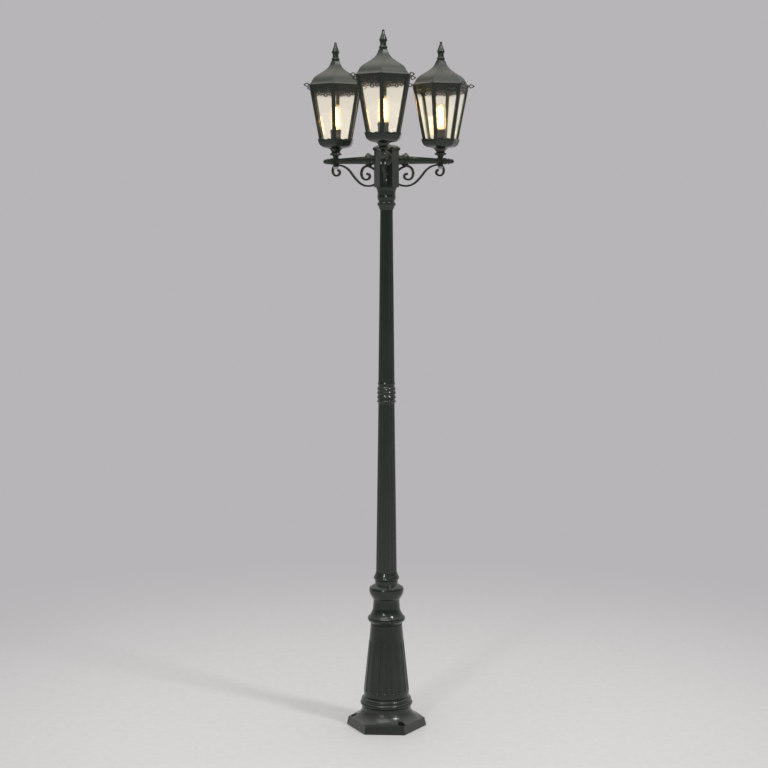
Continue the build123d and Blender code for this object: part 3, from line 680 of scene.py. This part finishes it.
BEAD_PITCH = 0.0034


def lobed_edge(steps=9):
    """The lower edge of a panel, from left to right; the middle lobe comes to a point."""
    points = []
    for number, (left, right) in enumerate(zip(FRIEZE_CUSPS, FRIEZE_CUSPS[1:])):
        pointed = 0.6 if number == 2 else 0.0
        for i in range(steps):
            share = i / steps
            away = abs(2 * share - 1)
            depth = pointed * (1 - away) + (1 - pointed) * (1 - away * away)
            x = left[0] + (right[0] - left[0]) * share
            y = left[1] + (right[1] - left[1]) * share - FRIEZE_DROPS[number] * depth
            points.append((x, y))
    return points + [FRIEZE_CUSPS[-1]]


def drop_hole(x, y, width, height, lean=0.0, steps=12):
    """A drop-shaped hole, round below and pointed above, leaning by an angle."""
    points = []
    for i in range(steps):
        angle = 2 * math.pi * i / steps
        across = width / 2 * math.sin(angle) * math.sin(angle / 2)
        along = height / 2 * math.cos(angle)
        points.append((
            x + across * math.cos(lean) - along * math.sin(lean),
            y + across * math.sin(lean) + along * math.cos(lean),
        ))
    return points


def frieze_parts():
    """The flat panel's plate, rim and beads, each as a mesh in the plane of the side."""
    edge = lobed_edge()
    outline = edge + [(FRIEZE_TOP_HALF, FRIEZE_TOP), (-FRIEZE_TOP_HALF, FRIEZE_TOP)]
    holes = [drop_hole(*MIDDLE_HOLE)]
    for side in (-1, 1):
        for x, y, width, height, lean in SIDE_HOLES:
            holes.append(drop_hole(side * x, y, width, height, side * lean))
    plate = plate_mesh([outline] + holes, PLATE_THICKNESS, PLATE_ROUNDING)
    plate.transform(Matrix.Translation((0, 0, PLATE_BACK + PLATE_THICKNESS / 2)))
    level = FRIEZE_FRONT - RIM_RADIUS
    rim_inset = RIM_RADIUS * 0.8
    rim = tube_mesh([(x * 0.985, y + rim_inset, level) for x, y in edge], RIM_RADIUS)
    count = int(2 * (FRIEZE_TOP_HALF - BEAD_RADIUS) / BEAD_PITCH)
    beads = bmesh.new()
    for i in range(count + 1):
        place = Vector(((i - count / 2) * BEAD_PITCH, FRIEZE_TOP - 1.3 * BEAD_RADIUS, level))
        bmesh.ops.create_icosphere(
            beads, subdivisions=2, radius=BEAD_RADIUS, matrix=Matrix.Translation(place)
        )
    return [plate, rim, to_mesh("beads", beads)]


for name, lantern in lanterns.items():
    panel = frieze_parts()
    placed = [(mesh, lantern.side(index)) for index in range(6) for mesh in panel]
    ornament = add_object(
        f"{name}_frieze_ornament", gather(f"{name}_frieze", placed), paint, "post"
    )
    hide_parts(f"{name}_lantern_frieze")
    print(ornament.name, len(ornament.data.polygons), "faces")

# %% [markdown]
# ## Smooth six-sided shells
#
# The roof and the cup of a lantern are six-sided castings whose faces curve in one smooth sweep.
# Straight-sided rings between a few levels would show as bands, so a Catmull-Rom curve, which
# passes through each of its points and turns evenly between them, first fills in the profile.
# Each level then becomes a six-sided ring, and the loop of rings closes on itself, so that the
# shell has its real thickness and its inside too.

# %% Shell helpers
SEAT_GAP = 0.0002
WAVE_DEPTH = 0.0032
WAVES_PER_SIDE = 3


def between(a, b, c, d, t):
    """The Catmull-Rom value a share t of the way from b to c, with a before them and d after."""
    square = (2 * a - 5 * b + 4 * c - d) * t ** 2
    cube = (3 * b - a - 3 * c + d) * t ** 3
    return 0.5 * (2 * b + (c - a) * t + square + cube)


def smooth_through(points, steps):
    """Points on a Catmull-Rom curve through the given (height, distance) points."""
    filled = []
    padded = [points[0]] + points + [points[-1]]
    for four in zip(padded, padded[1:], padded[2:], padded[3:]):
        for i in range(steps):
            filled.append(tuple(between(*values, i / steps) for values in zip(*four)))
    return filled + [points[-1]]


def unwaved(profile):
    """A profile's (height, distance) points as the levels of a shell, with no wave on any."""
    return [(height, distance, 0.0) for height, distance in profile]


def six_sided_shell(name, levels, lantern, base, steps):
    """A closed six-sided shell from a loop of (height, distance to the flats, wave) levels."""
    made = bmesh.new()
    first_corner = math.radians(CORNER_AZIMUTH[lantern.name])
    rings = []
    for height, distance, wave in levels:
        radius = distance / math.cos(math.radians(30))
        angles = [first_corner + math.radians(60 * i) for i in range(7)]
        corners = [
            Vector((radius * math.cos(a), radius * math.sin(a), base + height)) for a in angles
        ]
        ring = []
        for start, end in zip(corners, corners[1:]):
            for i in range(steps):
                swing = 1 - math.cos(2 * math.pi * WAVES_PER_SIDE * i / steps)
                dip = Vector((0, 0, wave * WAVE_DEPTH * swing / 2))
                ring.append(made.verts.new(lantern.axis + start.lerp(end, i / steps) - dip))
        rings.append(ring)
    for low, high in zip(rings, rings[1:] + rings[:1]):
        for i in range(len(low)):
            j = (i + 1) % len(low)
            made.faces.new([low[i], low[j], high[j], high[i]])
    return to_mesh(name, made)


print("shell helpers ready")

# %% [markdown]
# ## Roofs
#
# A lantern's roof is an ogee: hollow at the finial, full in the middle, and hollow again where it
# flares into a thin brim. A pierced ear in the form of a leaf stands out from each corner of the
# brim. An ear is one closed loop of wire, made once and turned six times.

# %% Roof shell
ROOF_SKIN = [
    (0.0, 0.0890), (0.0014, 0.0904), (0.0034, 0.0894), (0.0070, 0.0842), (0.0130, 0.0800),
    (0.0210, 0.0758), (0.0290, 0.0700), (0.0365, 0.0612), (0.0440, 0.0500), (0.0520, 0.0385),
    (0.0610, 0.0282), (0.0720, 0.0202), (0.0860, 0.0147),
]
ROOF_WALL = 0.0026
ROOF_LINING_DROP = ROOF_WALL * 0.7
ROOF_BRIM_HEIGHT = 0.0036
ROOF_CREASE = 22
ROOF_SEAT = 0.0820
STUD_HOLE = 0.0038
EAR_ROOT = 0.1040
EAR_TIP = 0.1215
EAR_HALF_HEIGHT = 0.0056
EAR_WIRE = 0.0019
EAR_LEVEL = 0.0012


def roof_ear(steps=10):
    """A flattened leaf loop in the XZ plane: round at its root, pointed at its tip."""
    path = []
    for side in (1, -1):
        for i in range(steps):
            share = (i if side > 0 else steps - i) / steps
            across = EAR_HALF_HEIGHT * math.sin(math.pi * math.sqrt(share))
            path.append(Vector((EAR_ROOT + (EAR_TIP - EAR_ROOT) * share, 0, side * across)))
    return tube_mesh(path, EAR_WIRE, cyclic=True)


def roof_shell(name, lantern):
    """One roof's shell with its six ears, as a single mesh."""
    skin = smooth_through(ROOF_SKIN, 4)
    lining = [
        (height - ROOF_LINING_DROP, distance - ROOF_WALL) for height, distance in skin
        if height > ROOF_BRIM_HEIGHT
    ]
    crown = [(skin[-1][0], STUD_HOLE), (lining[-1][0] - ROOF_WALL, STUD_HOLE)]
    levels = unwaved(skin + crown + lining[::-1] + [(0.0, ROOF_SEAT)])
    eave = lantern.eaves + SEAT_GAP
    parts = [(six_sided_shell(f"{name}_shell", levels, lantern, eave, 4), Matrix.Identity(4))]
    ear = roof_ear()
    foot = Matrix.Translation(lantern.axis + Vector((0, 0, eave + EAR_LEVEL)))
    for i in range(6):
        turn = Matrix.Rotation(math.radians(CORNER_AZIMUTH[name] + 60 * i), 4, "Z")
        parts.append((ear, foot @ turn))
    return gather(f"{name}_roof", parts)


print("roof profile of", len(ROOF_SKIN), "levels")

# %% [markdown]
# ## Cups
#
# The cup under a lantern is a shallow bowl whose rim dips in three waves on each side. Only the
# two rings of the rim carry the wave, so the bowl below stays smooth.

# %% Cups, and both shells put in place
CUP_SKIN = [
    (0.0, 0.0150), (0.0040, 0.0168), (0.0085, 0.0200), (0.0118, 0.0255), (0.0135, 0.0335),
    (0.0155, 0.0425), (0.0195, 0.0500), (0.0250, 0.0548), (0.0305, 0.0568), (0.0345, 0.0586),
    (0.0385, 0.0590),
]
CUP_CREASE = 30
CUP_RIM = 0.0430
CUP_RIM_OUTER = 0.0600
CUP_RIM_INNER = 0.0572
CUP_INSIDE = [
    (0.0306, 0.0548), (0.0306, 0.0490), (0.0250, 0.0450), (0.0190, 0.0370), (0.0160, 0.0250),
    (0.0120, 0.0180), (0.0037, 0.0150), (0.0037, 0.0053), (0.0, 0.0053),
]


def cup_bowl(name, lantern):
    """One cup: its bowl going up, its waved rim, and its inside coming down to the floor."""
    rim = [(CUP_RIM, CUP_RIM_OUTER, 1.0), (CUP_RIM, CUP_RIM_INNER, 1.0)]
    levels = unwaved(smooth_through(CUP_SKIN, 3)) + rim + unwaved(CUP_INSIDE)
    floor_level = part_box(f"{name}_lantern_cup")[0].z + SEAT_GAP
    return six_sided_shell(f"{name}_bowl", levels, lantern, floor_level, 24)


for name, lantern in lanterns.items():
    roof = add_object(
        f"{name}_roof_shell", roof_shell(name, lantern), roof_paint, f"{name}_roof",
        ROOF_CREASE,
    )
    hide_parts(f"{name}_lantern_roof")
    cup = add_object(
        f"{name}_cup_bowl", cup_bowl(name, lantern), paint, "post", CUP_CREASE,
    )
    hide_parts(f"{name}_lantern_cup")
    print(roof.name, len(roof.data.polygons), "faces,", cup.name, len(cup.data.polygons), "faces")

# %% [markdown]
# ## Bulb glass and filaments
#
# Each lantern holds a tubular filament lamp. Its glass is mixed with a transparent shader for
# shadow rays, as the panes are, and carries a faint painted glow up to the height of the
# filaments, which stands in for the halo of light round them. The filaments are the brightest
# thing in the picture. None of these glows is sampled as a lamp, because a point light at the
# filaments does that job with less noise.

# %% Bulb materials
BULB_GLOW_FULL = 2.165
BULB_GLOW_END = 2.19

bulb_glass, bulb_tree, bulb_shader = new_material("bulb_glass")
bulb_place = put(bulb_tree, "ShaderNodeTexCoord")
bulb_height = put(bulb_tree, "ShaderNodeSeparateXYZ", Vector=bulb_place.outputs["Object"])
# Painted glow: the bulb glass glows faintly up to the filaments' height, standing in for the light round
# them.
bulb_painted_glow = put(
    bulb_tree, "ShaderNodeMapRange", {"interpolation_type": "SMOOTHSTEP"},
    Value=bulb_height.outputs["Z"], From_Min=BULB_GLOW_END, From_Max=BULB_GLOW_FULL,
    To_Min=0.0, To_Max=1.0,
)
bulb_painted_glow_tint = put(
    bulb_tree, "ShaderNodeMix", {"data_type": "RGBA"}, Factor=bulb_painted_glow.outputs["Result"],
    i6=(0.42, 0.22, 0.06, 1), i7=(1.0, 0.72, 0.28, 1),
)
bulb_tree.links.new(bulb_painted_glow_tint.outputs[2], bulb_shader.inputs["Emission Color"])
bulb_shader.inputs["Emission Strength"].default_value = 0.12
bulb_shader.inputs["Base Color"].default_value = (1.0, 0.97, 0.9, 1)
bulb_shader.inputs["Roughness"].default_value = 0.03
bulb_shader.inputs["IOR"].default_value = 1.46
bulb_shader.inputs["Transmission Weight"].default_value = 1.0
bulb_path = put(bulb_tree, "ShaderNodeLightPath")
bulb_clear = put(bulb_tree, "ShaderNodeBsdfTransparent", Color=(0.98, 0.96, 0.92, 1))
bulb_mix = put(
    bulb_tree, "ShaderNodeMixShader", i0=bulb_path.outputs["Is Shadow Ray"],
    i1=bulb_shader.outputs["BSDF"], i2=bulb_clear.outputs["BSDF"],
)
bulb_tree.links.new(bulb_mix.outputs["Shader"], bulb_tree.nodes["Material Output"].inputs["Surface"])

filament_glow, filament_tree, filament_shader = new_material("filament_glow")
filament_place = put(filament_tree, "ShaderNodeTexCoord")
filament_grain = put(
    filament_tree, "ShaderNodeTexNoise", Vector=filament_place.outputs["Object"], Scale=900.0,
)
filament_tint = put(
    filament_tree, "ShaderNodeMix", {"data_type": "RGBA"}, Factor=filament_grain.outputs["Fac"],
    i6=(1.0, 0.55, 0.16, 1), i7=(1.0, 0.78, 0.42, 1),
)
filament_tree.links.new(filament_tint.outputs[2], filament_shader.inputs["Emission Color"])
filament_tree.links.new(filament_tint.outputs[2], filament_shader.inputs["Base Color"])
filament_shader.inputs["Emission Strength"].default_value = 22.0
filament_shader.inputs["Roughness"].default_value = 0.6
filament_glow.cycles.emission_sampling = "NONE"
bulb_glass.cycles.emission_sampling = "NONE"
for made in pane_glass.values():
    made.cycles.emission_sampling = "NONE"
print("bulb materials", bulb_glass.name, filament_glow.name)

# %% [markdown]
# ## Bulb pieces
#
# A solid glass body would bend the view like a lens, so the envelope is a thin shell: an outer
# profile going up and an inner one coming down. The screw cap's thread is a true helix, made by
# letting the radius of a tube follow both its height and its angle. Inside stand a glass stem, a
# centre wire, and a ring of upright filaments on fine lead wires.

# %% Bulb pieces
CAP_LOW = 2.0718
CAP_TOP = 2.0968
CAP_RADIUS = 0.0126
THREAD_PITCH = 0.0036
THREAD_DEPTH = 0.0005
THREAD_FADE_BELOW = 8
THREAD_FADE_ABOVE = 14
CAP_NECKING = 0.0006
CAP_CONTACT = [
    (0.0094, 0.0022), (0.0088, 0.0026), (0.0045, 0.003), (0.004, 0.0034), (0.0018, 0.0036),
]
GLASS_LOW = 2.0975
GLASS_RADIUS = 0.0174
GLASS_TOP = 2.1868
GLASS_WALL = 0.0007
GLASS_STEM = [
    (0.0, 2.0965), (0.0092, 2.0965), (0.0088, 2.0985), (0.0046, 2.106), (0.0034, 2.114),
    (0.0036, 2.12), (0.002, 2.1225), (0.0, 2.1228),
]
FILAMENT_COUNT = 8
FILAMENT_RADIUS = 0.0015
FILAMENT_FOOT = (0.0080, 2.110)
FILAMENT_HEAD = (0.0056, 2.174)
LEAD_RADIUS = 0.0003
POST_WIRE_RADIUS = 0.0004
POST_WIRE = (2.1200, 2.1770)
LEAD_LEVELS = (2.1215, 2.1765)


def envelope_profile(shrink):
    """The glass's profile from its neck up to its pole, shrunk by a wall's thickness."""
    radius = GLASS_RADIUS - shrink
    top = GLASS_TOP - shrink
    dome = [(radius * math.cos(math.radians(a)), top - radius + radius * math.sin(math.radians(a)))
            for a in range(0, 90, 9)]
    neck = [(0.0118 - shrink, GLASS_LOW), (radius * 0.84, GLASS_LOW + 0.0008 + shrink),
            (radius * 0.96, GLASS_LOW + 0.003), (radius, GLASS_LOW + 0.0065)]
    return neck + dome + [(0.0, top)]


def cap_mesh(name, axis, segments=48, rows=96):
    """The screw cap: a tube whose wall follows a helix, closed below by its contact.

    The thread fades out over a few rows at both ends.
    """
    made = bmesh.new()

    def ring_at(height, radii):
        ring = []
        for i, radius in enumerate(radii):
            angle = 2 * math.pi * (i / segments)
            out = Vector((radius * math.cos(angle), radius * math.sin(angle), height))
            ring.append(made.verts.new(axis + out))
        return ring

    rings = []
    for row in range(rows + 1):
        height = CAP_LOW + (CAP_TOP - CAP_LOW) * row / rows
        fade = min(1.0, row / THREAD_FADE_BELOW, (rows - row) / THREAD_FADE_ABOVE)
        radii = []
        for i in range(segments):
            wave = math.cos(2 * math.pi * ((height - CAP_LOW) / THREAD_PITCH - i / segments))
            radii.append(CAP_RADIUS + THREAD_DEPTH * wave * fade - CAP_NECKING * (1 - fade))
        rings.append(ring_at(height, radii))
    for radius, drop in CAP_CONTACT:
        rings.insert(0, ring_at(CAP_LOW - drop, [radius] * segments))
    for low, high in zip(rings, rings[1:]):
        for i in range(segments):
            j = (i + 1) % segments
            made.faces.new([low[i], low[j], high[j], high[i]])
    made.faces.new(rings[0])
    made.faces.new(rings[-1])
    return to_mesh(name, made)


def filament_parts(axis):
    """The glowing rods of one bulb, and the fine wires that hold them."""
    def at(level):
        return axis + Vector((0, 0, level))

    rods = []
    wires = []
    for i in range(FILAMENT_COUNT):
        angle = 2 * math.pi * (i + 0.5) / FILAMENT_COUNT
        out = Vector((math.cos(angle), math.sin(angle), 0))
        foot = at(FILAMENT_FOOT[1]) + out * FILAMENT_FOOT[0]
        head = at(FILAMENT_HEAD[1]) + out * FILAMENT_HEAD[0]
        rods.append((tube_mesh([foot, head], FILAMENT_RADIUS), Matrix.Identity(4)))
        wires.append((tube_mesh([at(LEAD_LEVELS[0]), foot], LEAD_RADIUS), Matrix.Identity(4)))
        wires.append((tube_mesh([head, at(LEAD_LEVELS[1])], LEAD_RADIUS), Matrix.Identity(4)))
    centre = tube_mesh([at(POST_WIRE[0]), at(POST_WIRE[1])], POST_WIRE_RADIUS)
    wires.append((centre, Matrix.Identity(4)))
    return rods, wires


for name, lantern in lanterns.items():
    bulb = f"{name}_bulb"
    body = f"{name}_lamp"
    envelope = envelope_profile(0.0) + list(reversed(envelope_profile(GLASS_WALL)))
    rods, wires = filament_parts(lantern.axis)
    glass = spin_mesh(f"{bulb}_glass", envelope, lantern.axis, 48, closed=True)
    bulb_pieces = [
        ("glass", glass, bulb_glass, "bulb_glass"),
        ("cap", cap_mesh(f"{bulb}_cap", lantern.axis), zinc, "zinc_steel"),
        ("stem", spin_mesh(f"{bulb}_stem", GLASS_STEM, lantern.axis, 24), bulb_glass, "bulb_glass"),
        ("filaments", gather(f"{name}_filaments", rods), filament_glow, "bulb_glass"),
        ("wires", gather(f"{name}_wires", wires), zinc, "zinc_steel"),
    ]
    for part, mesh, made, slot in bulb_pieces:
        piece = add_object(f"{bulb}_{part}", mesh, made, body)
        if part == "glass":
            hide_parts(bulb)
    print(name, "bulb of", len(bulb_pieces), "pieces in", body)

# %% [markdown]
# ## Floor and background
#
# The post stands on a plain pale floor. A horizon would cut across the picture behind the post, so
# far from it the floor turns, for camera rays only, into the same flat colour as the world behind.
# Near the post it stays an ordinary rough surface that takes the post's shadow.

# %% Floor
BACKGROUND = (0.475, 0.46, 0.475, 1)

floor_mesh = spin_mesh("floor", [(0.0, 0.0), (1.5, 0.0), (6.0, 0.0), (60.0, 0.0)], Vector((0, 0, 0)), 96)
floor_paint, floor_tree, floor_shader = new_material("pale_floor")
floor_place = put(floor_tree, "ShaderNodeTexCoord")
floor_speckle = put(
    floor_tree, "ShaderNodeTexNoise", Vector=floor_place.outputs["Object"], Scale=35.0, Detail=6.0,
)
floor_colour = put(
    floor_tree, "ShaderNodeMix", {"data_type": "RGBA"}, Factor=floor_speckle.outputs["Fac"],
    i6=(0.60, 0.59, 0.585, 1), i7=(0.68, 0.67, 0.665, 1),
)
floor_tree.links.new(floor_colour.outputs[2], floor_shader.inputs["Base Color"])
floor_shader.inputs["Roughness"].default_value = 0.7
floor_reach = put(
    floor_tree, "ShaderNodeVectorMath", {"operation": "LENGTH"}, i0=floor_place.outputs["Object"],
)
floor_fade = put(
    floor_tree, "ShaderNodeMapRange", {"interpolation_type": "SMOOTHSTEP"},
    Value=floor_reach.outputs["Value"], From_Min=0.7, From_Max=3.2,
)
floor_path = put(floor_tree, "ShaderNodeLightPath")
floor_far = put(
    floor_tree, "ShaderNodeMath", {"operation": "MULTIPLY"}, i0=floor_fade.outputs["Result"],
    i1=floor_path.outputs["Is Camera Ray"],
)
floor_flat = put(floor_tree, "ShaderNodeEmission", Color=BACKGROUND)
floor_mix = put(
    floor_tree, "ShaderNodeMixShader", i0=floor_far.outputs["Value"], i1=floor_shader.outputs["BSDF"],
    i2=floor_flat.outputs["Emission"],
)
floor_tree.links.new(floor_mix.outputs["Shader"], floor_tree.nodes["Material Output"].inputs["Surface"])
floor = bpy.data.objects.new("floor", floor_mesh)
floor_mesh.materials.append(floor_paint)
bpy.context.scene.collection.objects.link(floor)
print("floor", round(floor.dimensions.x), "m across")

# %% [markdown]
# ## World
#
# Gloss paint shows what stands around it, so the world isn't one even grey. It is brighter behind
# the post than in front of it, and brighter overhead, as a white tent round a product would be.
# That gives each rounded form a bright edge and a dark middle. The camera, and the glass it looks
# through, see the flat background colour instead, which Light Path sorts out.

# %% World
world = bpy.data.worlds.new("studio")
world.use_nodes = True
bpy.context.scene.world = world
sky = world.node_tree
sky_light = sky.nodes["Background"]
sky_way = put(sky, "ShaderNodeTexCoord")
sky_axes = put(sky, "ShaderNodeSeparateXYZ", Vector=sky_way.outputs["Generated"])
sky_behind = put(
    sky, "ShaderNodeMapRange", {"interpolation_type": "SMOOTHSTEP"}, Value=sky_axes.outputs["Y"],
    From_Min=-0.35, From_Max=0.75, To_Min=0.10, To_Max=0.50,
)
sky_above = put(
    sky, "ShaderNodeMapRange", {"interpolation_type": "SMOOTHSTEP"}, Value=sky_axes.outputs["Z"],
    From_Min=0.25, From_Max=0.9, To_Min=0.0, To_Max=0.55,
)
sky_strength = put(
    sky, "ShaderNodeMath", {"operation": "ADD"}, i0=sky_behind.outputs["Result"],
    i1=sky_above.outputs["Result"],
)
sky_light.inputs["Color"].default_value = (1.0, 0.995, 0.985, 1)
sky.links.new(sky_strength.outputs["Value"], sky_light.inputs["Strength"])
sky_shown = put(sky, "ShaderNodeBackground", Color=BACKGROUND, Strength=1.0)
sky_path = put(sky, "ShaderNodeLightPath")
sky_seen = put(
    sky, "ShaderNodeMath", {"operation": "MAXIMUM"}, i0=sky_path.outputs["Is Camera Ray"],
    i1=sky_path.outputs["Is Transmission Ray"],
)
sky_mix = put(
    sky, "ShaderNodeMixShader", i0=sky_seen.outputs["Value"], i1=sky_light.outputs["Background"],
    i2=sky_shown.outputs["Background"],
)
sky.links.new(sky_mix.outputs["Shader"], sky.nodes["World Output"].inputs["Surface"])
print("world", world.name)

# %% [markdown]
# ## Lights
#
# Three softboxes, none of them strong. A high one at the right draws the bright line down the
# shaft, a small one at the front left draws the fainter second line, and a wide one overhead fills
# the upper sides of the castings. In each lantern a small warm point light stands at the filaments
# and rides with its bulb. It is kept out of mirror rays, because a point has no surface to show.

# %% Lights
def softbox(name, place, target, width, height, power):
    """A rectangular soft light that faces a target."""
    data = bpy.data.lights.new(name, "AREA")
    data.shape = "RECTANGLE"
    data.size = width
    data.size_y = height
    data.energy = power
    light = bpy.data.objects.new(name, data)
    light.location = place
    light.rotation_euler = (Vector(target) - Vector(place)).to_track_quat("-Z", "Y").to_euler()
    bpy.context.scene.collection.objects.link(light)
    return light


SHAFT_MIDDLE = (0, 0, 1.3)
LAMP_COLOUR = (1.0, 0.52, 0.2)
LAMP_POWER = 2.4
LAMP_RADIUS = 0.012

softbox("right_softbox", (3.3, -2.3, 5.4), SHAFT_MIDDLE, 0.7, 0.9, 110)
softbox("left_softbox", (-1.7, -4.4, 3.6), SHAFT_MIDDLE, 0.5, 0.9, 45)
softbox("top_softbox", (-0.6, -1.4, 5.2), (0, 0, 1.6), 3.0, 3.0, 60)

for name, lantern in lanterns.items():
    data = bpy.data.lights.new(f"{name}_lamp_light", "POINT")
    data.color = LAMP_COLOUR
    data.energy = LAMP_POWER
    data.shadow_soft_size = LAMP_RADIUS
    lamp = bpy.data.objects.new(f"{name}_lamp_light", data)
    lamp.location = lantern.axis + Vector((0, 0, LAMP_LEVEL))
    bpy.context.scene.collection.objects.link(lamp)
    lamp.visible_glossy = False
    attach(lamp, f"{name}_lamp")
print("lights", len(bpy.data.lights))

# %% [markdown]
# ## View
#
# The Standard view shows a colour as it was written, without a film-like curve.

# %% View
bpy.context.scene.view_settings.view_transform = "Standard"
print("view", bpy.context.scene.view_settings.view_transform)
